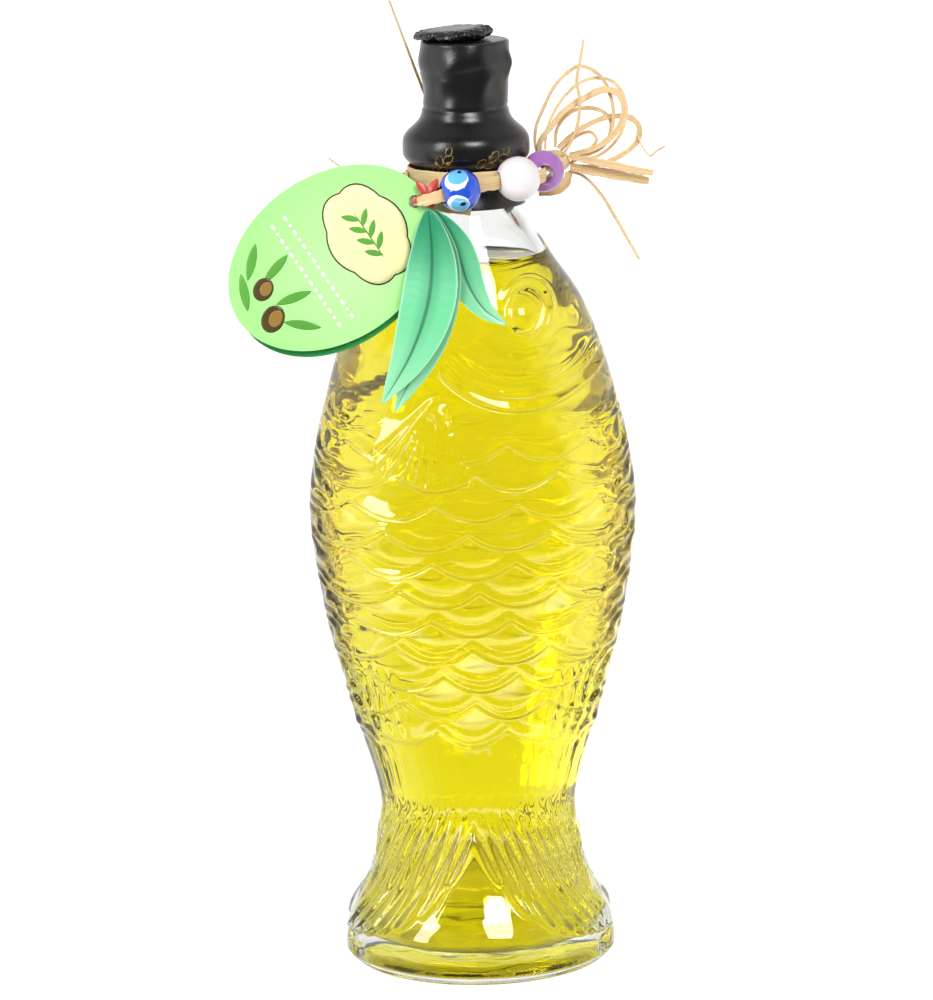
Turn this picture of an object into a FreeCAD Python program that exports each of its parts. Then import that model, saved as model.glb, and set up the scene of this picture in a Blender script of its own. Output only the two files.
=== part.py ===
import FreeCAD, Part
import math
import os

Vector = FreeCAD.Vector

# ---------------------------------------------------------------- sizes (mm)
# The bottle stands on its tail, head up, and shows its side to -Y.
# +X is the back (dorsal) edge of the fish, -X its belly, +Z is up.

# Glass: outline of the fish, from the foot up
foot_width = 72.0            # across the face it stands on
flare_width = 77.6           # widest place of the tail flare
flare_height = 3.2
flare_top_height = 12.0      # where the flare starts to draw in
flare_top_width = 74.4
stalk_width = 55.4           # narrowest place above the tail
stalk_height = 43.0
hip_width = 70.0             # half way up the tapering tail
hip_height = 74.0
body_width = 92.4            # widest place of the fish
body_height = 133.0
head_width = 81.0            # across the gill cover
head_height = 166.0
brow_width = 62.8            # across the eyes
brow_height = 192.0
mouth_width = 28.0
mouth_height = 240.0         # the bottle's own height
lip_width = 32.4             # ring round the mouth
lip_below_mouth = 5.5
throat_width = 28.6          # under the lip
throat_below_mouth = 13.0
neck_width = 31.2            # where the closure starts
neck_below_mouth = 21.2
lip_height = mouth_height - lip_below_mouth
throat_height = mouth_height - throat_below_mouth
neck_height = mouth_height - neck_below_mouth

# Glass: depth of the oval, as a share of its width
foot_depth_share = 0.88
stalk_depth_share = 0.79
body_depth_share = 0.665
head_depth_share = 0.72
brow_depth_share = 0.84

# Glass: thickness and hollow
wall = 3.6
floor_height = 7.0
floor_round = 7.0            # rounding of the hollow above its floor
bore_width = 20.0
bore_below_mouth = 18.0      # the bore is straight from here up
bore_height = mouth_height - bore_below_mouth
punt_width = 58.0            # recess under the foot
punt_depth = 1.6
hollow_rows = 80             # rings of the hollow's surface
hollow_crowding = 1.5        # how strongly they crowd towards the floor
oil_height = 203.8
oil_gap = 0.12               # between the oil and the glass

# Relief of the fish
relief = 1.0                 # scale of every raised thing below
eye_x = 15.6
eye_z = 191.5
eye_width = 10.6
eye_tall = 13.0
eye_rise = 2.8
lid_rise = 0.9
gill_x = 14.2
gill_z = 194.5
gill_radius = 30.5           # outermost edge of the gill cover
gill_step = 3.6              # from one ridge of it to the next
gill_ridges = 4
gill_rise = 1.6
gill_half_angle = 60.0       # degrees each side of straight down
scale_top = 163.0            # first row of scales, at the middle
scale_bottom = 66.0          # last row
scale_pitch = 8.3
scale_width = 23.0           # of the widest scales
scale_sag = 4.6              # how far a scale's tip hangs below its corners
scale_rise = 1.6
scale_drift = 0.07           # share of a scale that the rows shift sideways
fin_root_x = -8.5            # pectoral fin
fin_root_z = 171.0
fin_lean = -104.0            # degrees; -90 is straight down
fin_spread = 60.0
fin_length = 29.0
fin_rays = 8
fin_rise = 1.6
edge_fin_start = 0.76        # of the half width, the rest is fin
edge_fin_pitch = 4.6
edge_fin_slant = 1.1         # how much its ripples climb outwards
edge_fin_rise = 0.9
small_fin_height = 79.0      # streaked fins low on both edges
small_fin_tall = 24.0
small_fin_pitch = 3.2
small_fin_rise = 0.9
stripe_count = 18            # striations of the tail stalk, across it
stripe_rise = 0.35
seam_width = 0.30            # sine of the angle from the side that stays plain
ray_pitch = 4.4              # rays of the tail fin, measured round the glass
ray_lean = 0.45              # how far they lean outwards, per unit of height
ray_rise = 1.3
lobe_drop = 1.3              # how far a ray's end hangs below the tail's edge
tail_top = 50.0              # where the rays start
notch_x = -1.5               # notch of the tail edge
notch_z = 37.5
notch_drop = 30.0            # edge of the tail, from the notch to far out
notch_reach = 15.0           # how fast the edge falls from the notch
tail_rise = 1.0              # edge of the tail over the foot band


# Closure
sleeve_gap = 0.25            # between the closure and the glass
sleeve_edge = 0.45           # thickness of its lower edge
sleeve_thick = 0.65          # over the throat
sleeve_lip_thick = 1.25      # over the lip
sleeve_bulge_above = 6.2     # from the bulge's widest place up to its shoulder
sleeve_bulge_below = 3.9
sleeve_waist_width = 23.4
sleeve_waist_above = 9.0     # above the mouth, like the next three
sleeve_head_width = 25.2
sleeve_head_above = 19.0
sleeve_top_above = 23.6
sleeve_fold_above = 17.5     # pinched fold on the right
sleeve_fold_rise = 1.3
sleeve_round = 3.2           # how far the top draws in as it rounds over
sleeve_crown = 0.7           # and how far it rises
sleeve_edge_width = neck_width + 2.0 * (sleeve_gap + sleeve_edge)
sleeve_neck_width = throat_width + 2.0 * (sleeve_gap + sleeve_thick)
sleeve_bulge_width = lip_width + 2.0 * (sleeve_gap + sleeve_lip_thick)
sleeve_neck_height = throat_height + 2.0
sleeve_bulge_height = lip_height - 0.1
sleeve_waist_height = mouth_height + sleeve_waist_above
sleeve_head_height = mouth_height + sleeve_head_above
sleeve_top_height = mouth_height + sleeve_top_above
sleeve_fold_height = mouth_height + sleeve_fold_above
film_width = 21.0            # crumpled end of the film on top
film_x = -3.2
film_tall = 2.3
film_tilt = 4.5              # degrees, right end up
film_crumple = 0.9
film_gap = 0.05              # over the closure's top

# Raffia, beads, charm, tags
strand_thick = 0.9
strand_width = 3.8
strand_narrow = 2.2          # where it runs through the tags
band_width = 4.4             # of the turn that lies on the sleeve
band_above_neck = 8.6        # its middle, above the closure's lower edge
band_gap = 0.15
band_height = neck_height + band_above_neck
bead_hole = 5.0
eye_bead = 11.7
pearl_bead = 12.3
purple_bead = 11.6
charm_reach = 5.2
charm_core = 2.3
charm_thick = 2.0
charm_points = 5
laid_out_width = 30.4        # of the sleeve's neck that the places below suit
laid_out_height = 218.8      # of its lower edge
tag_length = 62.0
tag_width = 45.2
tag_thick = 0.6
tag_hole = 3.6
tag_hole_inset = 3.6         # from the end of the oval to the hole's middle
leaf_thick = 0.5
leaf_length = 56.0
leaf_width = 15.0
bow_thick = 0.56


# ---------------------------------------------------------------- helpers
def smooth_curve(stations):
    """Cubic through (place, value) pairs that never overshoots them."""
    place = [s[0] for s in stations]
    value = [s[1] for s in stations]
    n = len(place)
    rise = [(value[i + 1] - value[i]) / (place[i + 1] - place[i]) for i in range(n - 1)]
    slope = [rise[0]] + [0.0] * (n - 2) + [rise[-1]]
    for i in range(1, n - 1):
        if rise[i - 1] * rise[i] > 0.0:
            slope[i] = 2.0 * rise[i - 1] * rise[i] / (rise[i - 1] + rise[i])

    def at(x):
        if x <= place[0]:
            return value[0]
        if x >= place[-1]:
            return value[-1]
        i = 0
        while x > place[i + 1]:
            i += 1
        h = place[i + 1] - place[i]
        t = (x - place[i]) / h
        a = (1.0 + 2.0 * t) * (1.0 - t) ** 2
        b = t * (1.0 - t) ** 2
        c = t * t * (3.0 - 2.0 * t)
        d = t * t * (t - 1.0)
        return a * value[i] + b * h * slope[i] + c * value[i + 1] + d * h * slope[i + 1]

    return at


def smooth_path(points):
    """Curve through the points, as a function of 0..1 along its length."""
    n = len(points)
    reach = [0.0]
    for i in range(1, n):
        reach.append(reach[-1] + (points[i] - points[i - 1]).Length)
    slope = []
    for i in range(n):
        j = max(i - 1, 0)
        k = min(i + 1, n - 1)
        slope.append((points[k] - points[j]) * (1.0 / (reach[k] - reach[j])))

    def at(t):
        s = min(max(t, 0.0), 1.0) * reach[-1]
        i = 0
        while i < n - 2 and s > reach[i + 1]:
            i += 1
        h = reach[i + 1] - reach[i]
        u = (s - reach[i]) / h
        a = (1.0 + 2.0 * u) * (1.0 - u) ** 2
        b = u * (1.0 - u) ** 2
        c = u * u * (3.0 - 2.0 * u)
        d = u * u * (u - 1.0)
        return points[i] * a + slope[i] * (b * h) + points[i + 1] * c + slope[i + 1] * (d * h)

    return at


def step_up(x, start, end):
    """0 before start, 1 after end, smooth between."""
    t = min(max((x - start) / (end - start), 0.0), 1.0)
    return t * t * (3.0 - 2.0 * t)


def skin(point, around, along, bands=1):
    """Faces closed round one way; point(turn, t) gives their places, t from 0 to 1."""
    spans = along - 3
    knots = [0, 0, 0] + list(range(spans + 1)) + [spans] * 3
    places = [(knots[j + 1] + knots[j + 2] + knots[j + 3]) / (3.0 * spans) for j in range(along)]
    net = [[point(2.0 * math.pi * i / around, t) for t in places] for i in range(around)]
    firm = []
    for i in range(around):
        row = []
        for j in range(along):
            p = net[i][j]
            pull = net[i - 1][j] + net[(i + 1) % around][j] - p * 2.0
            if 2 < j < along - 3:
                pull = pull + net[i][j - 1] + net[i][j + 1] - p * 2.0
            row.append(p - pull * (1.0 / 6.0))
        firm.append(row)
    whole = Part.BSplineSurface()
    whole.buildFromPolesMultsKnots(
        firm,
        [1] * (around + 1),
        [4] + [1] * (spans - 1) + [4],
        [float(i) for i in range(around + 1)],
        [float(j) for j in range(spans + 1)],
        True,
        False,
        3,
        3,
    )
    cuts = [round(spans * i / bands) for i in range(bands + 1)]
    faces = []
    for low, high in zip(cuts, cuts[1:]):
        part = whole.copy()
        if bands > 1:
            part.segment(0.0, float(around), float(low), float(high))
        faces.append(part.toShape())
    return faces


def rim(faces, near):
    """The closed edge of a skin that lies nearest to a place."""
    rings = [e for f in faces for e in f.Edges if e.isClosed()]
    return min(rings, key=lambda e: (e.BoundBox.Center - near).Length)


def cap(*edges):
    """Flat face inside the first ring and outside the others."""
    return Part.makeFace([Part.Wire([e]) for e in edges], "Part::FaceMakerBullseye")


def closed(faces):
    """One solid bounded by the faces."""
    shell = Part.Shell(faces)
    shell.sewShape()
    solid = Part.Solid(shell.Shells[0])
    if solid.Volume < 0.0:
        solid.reverse()
    return solid


def tube(point, around, along):
    """Solid inside a skin whose two ends are flat rings."""
    side = skin(point, around, along)
    start = rim(side, point(0.0, 0.0) * 0.5 + point(math.pi, 0.0) * 0.5)
    end = rim(side, point(0.0, 1.0) * 0.5 + point(math.pi, 1.0) * 0.5)
    return closed(side + [cap(start), cap(end)])


def unit(v):
    return v * (1.0 / v.Length)


def ribbon(path, half_width, half_thick, facing, roll, along, around=12):
    """Flat strand along a path; the sizes and roll are functions of 0..1."""

    def point(turn, t):
        middle = path(t)
        step = 0.002
        ahead = unit(path(min(t + step, 1.0)) - path(max(t - step, 0.0)))
        face = facing(middle)
        out = unit(face - ahead * face.dot(ahead))
        side = ahead.cross(out)
        a = roll(t)
        wide = side * math.cos(a) + out * math.sin(a)
        thick = out * math.cos(a) - side * math.sin(a)
        c = math.cos(turn)
        s = math.sin(turn)
        x = half_width(t) * math.copysign(abs(c) ** 0.6, c)
        y = half_thick(t) * math.copysign(abs(s) ** 0.6, s)
        return middle + wide * x + thick * y

    return tube(point, around, along)


# ---------------------------------------------------------------- the glass
half_width_at = smooth_curve([
    (0.0, foot_width / 2.0),
    (flare_height, flare_width / 2.0),
    (flare_top_height, flare_top_width / 2.0),
    ((flare_top_height + stalk_height) / 2.0 - 2.0, stalk_width / 2.0 + 2.3),
    (stalk_height, stalk_width / 2.0),
    (hip_height, hip_width / 2.0),
    ((hip_height + body_height) / 2.0, (hip_width * 0.32 + body_width * 0.68) / 2.0),
    (body_height, body_width / 2.0),
    ((body_height + head_height) / 2.0, (body_width * 0.69 + head_width * 0.31) / 2.0),
    (head_height, head_width / 2.0),
    ((head_height + brow_height) / 2.0, (head_width * 0.58 + brow_width * 0.42) / 2.0),
    (brow_height, brow_width / 2.0),
    ((brow_height + neck_height) / 2.0, (brow_width * 0.44 + neck_width * 0.56) / 2.0),
    (neck_height, neck_width / 2.0),
    (throat_height, throat_width / 2.0),
    (throat_height + 3.0, throat_width / 2.0 + 0.2),
    (lip_height - 1.5, lip_width / 2.0),
    (lip_height + 2.0, lip_width / 2.0),
    (mouth_height, mouth_width / 2.0),
])
depth_share_at = smooth_curve([
    (0.0, foot_depth_share),
    (flare_top_height, foot_depth_share),
    (stalk_height, stalk_depth_share),
    (body_height, body_depth_share),
    (head_height, head_depth_share),
    (brow_height, brow_depth_share),
    (neck_height, 1.0),
])


def eye_relief(x, z):
    across = (x - eye_x) / (eye_width / 2.0)
    up = (z - eye_z) / (eye_tall / 2.0)
    r = math.hypot(across, up)
    dome = eye_rise * max(0.0, 1.0 - r * r) ** 0.7
    turn = math.degrees(math.atan2(up, across))
    side = step_up(turn, -60.0, -20.0) * (1.0 - step_up(turn, 120.0, 160.0))
    lid = lid_rise * side * math.exp(-((r - 1.32) / 0.16) ** 2)
    return dome + lid


def gill_relief(x, z):
    r = math.hypot(x - gill_x, z - gill_z)
    turn = abs(math.degrees(math.atan2(x - gill_x, gill_z - z)))
    window = 1.0 - step_up(turn, gill_half_angle - 14.0, gill_half_angle)
    high = 0.0
    for i in range(gill_ridges):
        edge = gill_radius - gill_step * i
        fade = 1.0 - 0.2 * i
        inside = (edge - r) / gill_step
        if inside > 0.0:
            high = max(high, fade * step_up(inside, 0.0, 0.35) * (1.0 - 0.7 * min(inside, 1.0)))
    calm = step_up(r, gill_radius - gill_step * (gill_ridges + 1.0), gill_radius - gill_step * gill_ridges)
    return gill_rise * window * high * calm


def scale_relief(x, z):
    """Rows of scales like roof tiles, each lifting towards its rounded lower edge."""
    narrow = half_width_at(z) / half_width_at(body_height)
    wide = scale_width * (0.35 + 0.65 * narrow)
    row = math.floor((scale_top - z) / scale_pitch)
    best = 0.0
    for k in (row - 1, row, row + 1):
        share = x / wide + 0.5 * (k % 2) + scale_drift * math.sin(1.9 * k) + 50.0
        share = share - math.floor(share)
        hang = 1.0 - (2.0 * share - 1.0) ** 2
        above = z - (scale_top - scale_pitch * k - scale_sag * hang)
        if above > 0.0:
            slope = 1.0 - 0.62 * min(above / scale_pitch, 1.0)
            best = step_up(above, 0.0, 1.5) * slope * (0.6 + 0.4 * hang)
            break
    fade = step_up(z, scale_bottom - 6.0, scale_bottom + 8.0)
    fade = fade * (1.0 - step_up(z, scale_top - 8.0, scale_top))
    return scale_rise * fade * best


def fin_relief(x, z):
    """Rise of the pectoral fin, and how much it covers what lies under it."""
    turn = math.degrees(math.atan2(z - fin_root_z, x - fin_root_x)) - fin_lean
    r = math.hypot(x - fin_root_x, z - fin_root_z)
    side = 1.0 - step_up(abs(turn), fin_spread / 2.0 - 4.0, fin_spread / 2.0 + 4.0)
    ridge = abs(math.cos(math.pi * turn * fin_rays / fin_spread))
    end = fin_length * (0.90 + 0.10 * ridge)
    cover = side * step_up(r, 0.0, 6.0) * (1.0 - step_up(r, end - 2.5, end))
    return fin_rise * cover * (0.25 + 0.75 * ridge), cover


def edge_relief(x, z):
    """Wavering ripples of the long fins on both edges, and how much they cover."""
    out = abs(x)
    share = out / half_width_at(z)
    window = step_up(share, edge_fin_start, edge_fin_start + 0.14)
    window = window * step_up(z, 62.0, 74.0) * (1.0 - step_up(z, 158.0, 170.0))
    waver = 1.3 * math.sin(0.55 * z) + 0.9 * math.sin(0.9 * out + 0.31 * z)
    wave = 0.5 + 0.5 * math.cos(2.0 * math.pi * (z - edge_fin_slant * out + waver) / edge_fin_pitch)
    return edge_fin_rise * window * wave * (0.75 + 0.25 * math.sin(0.8 * z + out)), window


def small_fin_relief(x, z):
    out = abs(x)
    share = out / half_width_at(z)
    up = (z - small_fin_height) / (small_fin_tall / 2.0)
    window = step_up(share, 0.50, 0.64) * max(0.0, 1.0 - up * up)
    wave = math.cos(2.0 * math.pi * (out - 0.30 * z) / small_fin_pitch)
    return small_fin_rise * window * (0.5 + 0.5 * wave)


def tail_relief(x, z):
    """Rays that end in lobes on the tail's edge, and stripes on the stalk above."""
    half_width = half_width_at(z)
    out = abs(x - notch_x)
    round_it = (flare_top_width + stalk_width) / 4.0 * math.asin(min(out / half_width, 1.0))
    ridge = abs(math.cos(math.pi * (round_it - ray_lean * (tail_top - z)) / ray_pitch))
    edge = notch_z - notch_drop * (1.0 - math.exp(-out / notch_reach)) + 0.6 - lobe_drop * ridge
    plate = step_up(z, edge - 0.3, edge + 0.9)
    rays = step_up(tail_top - z, 0.0, 14.0) * (tail_rise + ray_rise * ridge)
    stripes = step_up(z, tail_top - 8.0, tail_top + 4.0) * (1.0 - step_up(z, 60.0, 70.0))
    stripe = abs(math.cos(math.pi * stripe_count * x / half_width / 2.0))
    return plate * rays + stripe_rise * stripes * stripe


def relief_at(x, z):
    """Height of the moulding over the plain oval body."""
    if z > 210.0:
        return 0.0
    fin, fin_cover = fin_relief(x, z)
    edge, edge_cover = edge_relief(x, z)
    scales = scale_relief(x, z) * (1.0 - fin_cover) * (1.0 - 0.8 * edge_cover)
    gill = gill_relief(x, z)
    r = math.hypot(x - gill_x, z - gill_z)
    scales = scales * step_up(r, gill_radius - 1.0, gill_radius + 1.0)
    total = eye_relief(x, z) + gill + scales + fin + edge + small_fin_relief(x, z) + tail_relief(x, z)
    return relief * total


def glass_outside(turn, t):
    z = mouth_height * t
    a = half_width_at(z)
    b = a * depth_share_at(z)
    x = a * math.cos(turn)
    y = b * math.sin(turn)
    out = unit(Vector(math.cos(turn) / a, math.sin(turn) / b, 0.0))
    # no moulding on the very edges of the fish, where the two mould halves meet
    seam = step_up(abs(math.sin(turn)), 0.0, seam_width)
    rise = relief_at(x, z) * seam * step_up(z, 0.6, 4.0)
    return Vector(x, y, z) + out * rise


def hollow_half_width(z, gap):
    base = half_width_at(min(max(z, 30.0), neck_height)) - wall
    if z < 30.0:
        base = min(half_width_at(z), flare_top_width / 2.0) - wall - 1.5 * step_up(30.0 - z, 0.0, 20.0)
    neck = step_up(z, neck_height - 10.0, bore_height)
    size = base * (1.0 - neck) + bore_width / 2.0 * neck
    low = (z - floor_height) / floor_round
    if low < 1.0:
        size = size - floor_round * (1.0 - math.sqrt(max(0.0, 1.0 - (1.0 - low) ** 2)))
    return size - gap


def hollow_ring(turn, z, gap):
    a = hollow_half_width(z, gap)
    b = (a + wall + gap) * depth_share_at(z) - wall - gap
    if z > neck_height:
        b = a
    else:
        blend = step_up(z, neck_height - 16.0, neck_height)
        b = b * (1.0 - blend) + a * blend
    return Vector(a * math.cos(turn), b * math.sin(turn), z)


def hollow_height(t):
    """Heights crowd together near the floor, where the hollow turns fastest."""
    return floor_height + (mouth_height - floor_height) * t ** hollow_crowding


def make_bottle():
    outside = skin(glass_outside, around=132, along=152, bands=14)

    inside = skin(lambda turn, t: hollow_ring(turn, hollow_height(t), 0.0), around=40, along=hollow_rows)
    depth = foot_depth_share

    def punt_point(turn, t):
        a = punt_width / 2.0 - 3.0 * t
        b = punt_width / 2.0 * depth - 3.0 * t
        return Vector(a * math.cos(turn), b * math.sin(turn), punt_depth * t)

    punt = skin(punt_point, around=32, along=6)
    ground = Vector(0.0, 0.0, 0.0)
    top = Vector(0.0, 0.0, mouth_height)
    faces = outside + inside + punt + [
        cap(rim(outside, ground), rim(punt, ground)),
        cap(rim(punt, Vector(0.0, 0.0, punt_depth))),
        cap(rim(outside, top), rim(inside, top)),
        cap(rim(inside, Vector(0.0, 0.0, floor_height))),
    ]
    return closed(faces)


def make_oil():
    """What the hollow holds: its rings follow the hollow's own, up to the oil's level."""
    top = ((oil_height - floor_height) / (mouth_height - floor_height)) ** (1.0 / hollow_crowding)

    def point(turn, t):
        z = hollow_height(t * top)
        return hollow_ring(turn, z, oil_gap) + Vector(0.0, 0.0, oil_gap * (1.0 - t))

    return tube(point, around=40, along=round(hollow_rows * top))


# ---------------------------------------------------------------- the closure
plain_sleeve_half_at = smooth_curve([
    (neck_height, sleeve_edge_width / 2.0),
    (sleeve_neck_height - 5.0, sleeve_neck_width / 2.0 + 0.1),
    (sleeve_neck_height, sleeve_neck_width / 2.0),
    (sleeve_waist_height, sleeve_waist_width / 2.0),
    (sleeve_head_height, sleeve_head_width / 2.0),
    (sleeve_top_height, sleeve_head_width / 2.0 - 0.4),
])


def sleeve_half_at(z):
    """Radius of the sleeve: straight parts, and a flat-topped swell over the lip of the glass."""
    away = z - sleeve_bulge_height
    if away > 0.0:
        swell = math.exp(-((away / sleeve_bulge_above) ** 3.5))
    else:
        swell = math.exp(-((away / sleeve_bulge_below) ** 4))
    plain = plain_sleeve_half_at(z)
    return plain + (sleeve_bulge_width / 2.0 - plain) * swell


def sleeve_outside(turn, t):
    tall = sleeve_top_height - neck_height
    z = neck_height + tall * min(t / 0.9, 1.0)
    r = sleeve_half_at(z)
    # the top rounds over into a flat end
    if t > 0.9:
        r = r - sleeve_round * (t - 0.9) / 0.1
        z = z + sleeve_crown * math.sin((t - 0.9) / 0.1 * math.pi / 2.0)
    fold = math.exp(-((z - sleeve_fold_height) / 3.6) ** 2) * math.exp(-((turn - 5.95) / 0.17) ** 2)
    high = step_up(z, sleeve_bulge_height + 4.0, sleeve_head_height - 4.0)
    wave = 0.16 * high * (math.sin(3.0 * turn + 0.31 * z) + math.sin(5.0 * turn - 0.52 * z))
    r = r + sleeve_fold_rise * fold + wave
    return Vector(r * math.cos(turn), r * math.sin(turn), z)


def make_capsule():
    """Sleeve and the closure under it: hollow only round the neck of the glass."""
    outside = skin(sleeve_outside, around=64, along=60)

    def inside_point(turn, t):
        z = neck_height + (mouth_height + sleeve_gap - neck_height) * t
        r = half_width_at(min(z, mouth_height)) + sleeve_gap
        return Vector(r * math.cos(turn), r * math.sin(turn), z)

    inside = skin(inside_point, around=32, along=40)
    low = Vector(0.0, 0.0, neck_height)
    high = Vector(0.0, 0.0, sleeve_top_height + 5.0)
    faces = outside + inside + [
        cap(rim(outside, low), rim(inside, low)),
        cap(rim(inside, Vector(0.0, 0.0, mouth_height))),
        cap(rim(outside, high)),
    ]
    return closed(faces)


def make_film():
    """Crumpled end of the film, resting on the closure's flat top."""
    tilt = math.tan(math.radians(film_tilt))
    foot = sleeve_top_height + sleeve_crown + film_gap

    def point(turn, t):
        # up the inside of the rim's underside, round its edge and back over the top
        swing = math.pi * t
        reach = film_width / 2.0
        r = reach * 0.45 + reach * 0.55 * math.sin(swing) ** 0.6
        crumple = math.sin(4.0 * turn + 0.6) + 0.7 * math.sin(7.0 * turn) + 0.5 * math.sin(11.0 * turn + 2.0)
        r = r + film_crumple * 0.5 * crumple * math.sin(swing)
        z = foot + film_tall * (1.0 - math.cos(swing)) / 2.0
        z = z + film_crumple * 0.35 * math.sin(5.0 * turn + 1.0) * math.sin(swing) ** 2
        x = film_x + r * math.cos(turn)
        lift = max(0.0, r * math.cos(turn) + reach) * tilt
        z = z + lift * math.sin(swing / 2.0) ** 2
        return Vector(x, r * math.sin(turn) * 0.92, z)

    return tube(point, around=56, along=22)


# ---------------------------------------------------------------- raffia
def even(size):
    return lambda t: size


def toward_viewer(p):
    return Vector(0.0, -1.0, 0.0)


def off_the_neck(p):
    return unit(Vector(p.x, p.y, 0.0))


def beside_neck(p):
    """Moves a laid-out place with the neck, as that is made wider or higher."""
    out = (sleeve_neck_width - laid_out_width) / 2.0
    return p + off_the_neck(p) * out + Vector(0.0, 0.0, neck_height - laid_out_height)


def make_band():
    """The turn that lies flat on the sleeve."""
    reach = sleeve_half_at(band_height + band_width / 2.0) + band_gap
    outer = Part.makeCylinder(reach + strand_thick, band_width)
    inner = Part.makeCylinder(reach, band_width)
    ring = outer.cut(inner)
    edges = [e for e in ring.Edges if e.BoundBox.ZLength < 0.01]
    ring = ring.makeFillet(strand_thick * 0.3, edges)
    ring.translate(Vector(0.0, 0.0, band_height - band_width / 2.0))
    return ring.Solids[0]


bead_strand_points = [
    Vector(21.4, -0.9, 228.8),
    Vector(21.2, -3.2, 228.6),
    Vector(21.2, -7.5, 228.2),
    Vector(21.5, -13.6, 228.1),
    Vector(19.4, -17.2, 228.0),
    Vector(14.1, -18.0, 227.8),
    Vector(6.0, -20.9, 226.9),
    Vector(-1.9, -22.4, 225.6),
    Vector(-7.5, -24.2, 224.3),
    Vector(-12.2, -24.0, 223.1),
    Vector(-14.3, -20.4, 222.4),
    Vector(-15.8, -15.0, 223.2),
    Vector(-16.9, -8.0, 225.3),
    Vector(-16.85, -2.6, 227.0),
]
bead_strand_points = [beside_neck(p) for p in bead_strand_points]
bead_strand_path = smooth_path(bead_strand_points)
purple_place = bead_strand_points[2]
pearl_place = bead_strand_points[5]
eye_place = bead_strand_points[7]
hole_place = bead_strand_points[10]


def place_along(path, target):
    """Where on the path a point of it lies, as 0..1."""
    steps = 600
    return min(range(steps + 1), key=lambda i: (path(i / steps) - target).Length) / steps


def make_bead_strand():
    near_tags = place_along(bead_strand_path, hole_place)
    reach = 0.085

    def half_width(t):
        pinch = math.exp(-((t - near_tags) / reach) ** 2)
        return strand_width / 2.0 * (1.0 - pinch) + strand_narrow / 2.0 * pinch

    return ribbon(
        bead_strand_path,
        half_width,
        even(strand_thick / 2.0),
        lambda p: unit(Vector(p.x * 0.6, p.y * 0.6, 0.0)),
        even(0.0),
        along=64,
    )


def make_bead(place, size):
    t = place_along(bead_strand_path, place)
    axis = unit(bead_strand_path(t + 0.01) - bead_strand_path(t - 0.01))
    ball = Part.makeSphere(size / 2.0, place, axis)
    bore = Part.makeCylinder(bead_hole / 2.0, size * 1.4, place - axis * (size * 0.7), axis)
    return ball.cut(bore).Solids[0]


laid_out_knot = Vector(24.4, 3.0, 229.4)
knot = beside_neck(laid_out_knot)
knot_half = Vector(4.4, 4.4, 3.2)


def make_knot():
    def point(turn, t):
        lift = math.cos(math.pi * (0.04 + 0.92 * t))
        round_ = math.sin(math.pi * (0.04 + 0.92 * t))
        ripple = 1.0 + 0.05 * math.sin(5.0 * turn + 9.0 * t) * round_
        x = knot_half.x * round_ * ripple * math.cos(turn)
        y = knot_half.y * round_ * ripple * math.sin(turn)
        return knot + Vector(x, y, -knot_half.z * lift)

    return tube(point, around=36, along=22)


# name: places across and up, layer front (-) to back (+), half width, roll in degrees
bow = {
    "loop_a": ([(20.0, 231.0), (19.2, 234.6), (19.6, 239.4), (21.8, 244.7), (24.6, 250.3), (28.1, 254.0),
                (31.9, 256.1), (36.7, 254.0), (39.6, 249.8), (41.1, 242.0), (39.4, 235.0), (35.0, 231.6),
                (29.0, 230.8)], -1.0, 0.5, 14.0),
    "loop_b": ([(22.0, 232.8), (22.4, 237.4), (24.2, 242.4), (27.4, 247.3), (31.5, 251.0), (36.0, 252.4),
                (40.6, 251.6), (43.6, 248.4), (44.7, 243.3), (43.0, 236.6), (37.4, 231.0), (29.3, 229.4)],
               0.0, 0.45, 12.0),
    "loop_c": ([(20.4, 231.5), (20.6, 235.2), (23.9, 239.6), (27.4, 243.7), (32.9, 247.2), (38.4, 249.6),
                (42.6, 248.3), (44.1, 244.0), (42.4, 238.7), (36.6, 233.6), (28.9, 231.4)], -2.0, 0.95, 10.0),
    "loop_d": ([(24.8, 233.1), (25.6, 238.4), (29.4, 242.7), (34.3, 243.7), (38.4, 242.5), (40.7, 239.2),
                (38.4, 233.4), (28.8, 228.4)], 2.0, 0.55, 12.0),
    "loop_e": ([(25.6, 233.0), (30.1, 236.9), (35.7, 240.0), (40.5, 241.4), (45.9, 240.9), (48.4, 238.0),
                (47.2, 233.6), (41.0, 229.4), (34.0, 227.6), (29.0, 228.0)], 1.0, 0.75, 14.0),
    "loop_f": ([(26.4, 231.9), (30.8, 235.7), (34.8, 236.8), (36.4, 234.4), (33.4, 231.4), (28.4, 229.9)],
               3.0, 0.45, 16.0),
    "tail_a": ([(28.4, 231.2), (32.0, 230.4), (39.4, 228.9), (45.4, 227.5), (51.8, 226.4)], -3.0, 1.1, 8.0),
    "tail_b": ([(28.9, 227.8), (33.6, 227.0), (40.9, 225.6), (50.8, 223.6)], -1.0, 1.4, 8.0),
    "tail_c": ([(28.6, 226.2), (27.6, 223.4), (24.4, 221.2), (20.0, 220.8)], -0.2, 1.4, 8.0),
    "wisp_a": ([(28.4, 226.3), (32.4, 225.0), (37.2, 220.0), (41.4, 213.0), (48.0, 201.0)], 1.0, 0.45, 0.0),
    "wisp_b": ([(26.8, 231.6), (29.6, 236.2), (31.2, 241.2), (31.6, 247.3), (30.9, 252.5), (31.8, 258.0),
                (32.9, 264.2)], -3.8, 0.45, 0.0),
}


def bow_point(x, z, layer):
    place = Vector(x, 0.0, z) + knot - laid_out_knot
    away = math.hypot(place.x - knot.x, place.z - knot.z)
    return place + Vector(0.0, laid_out_knot.y + layer * (0.85 + 0.035 * away), 0.0)


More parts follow.
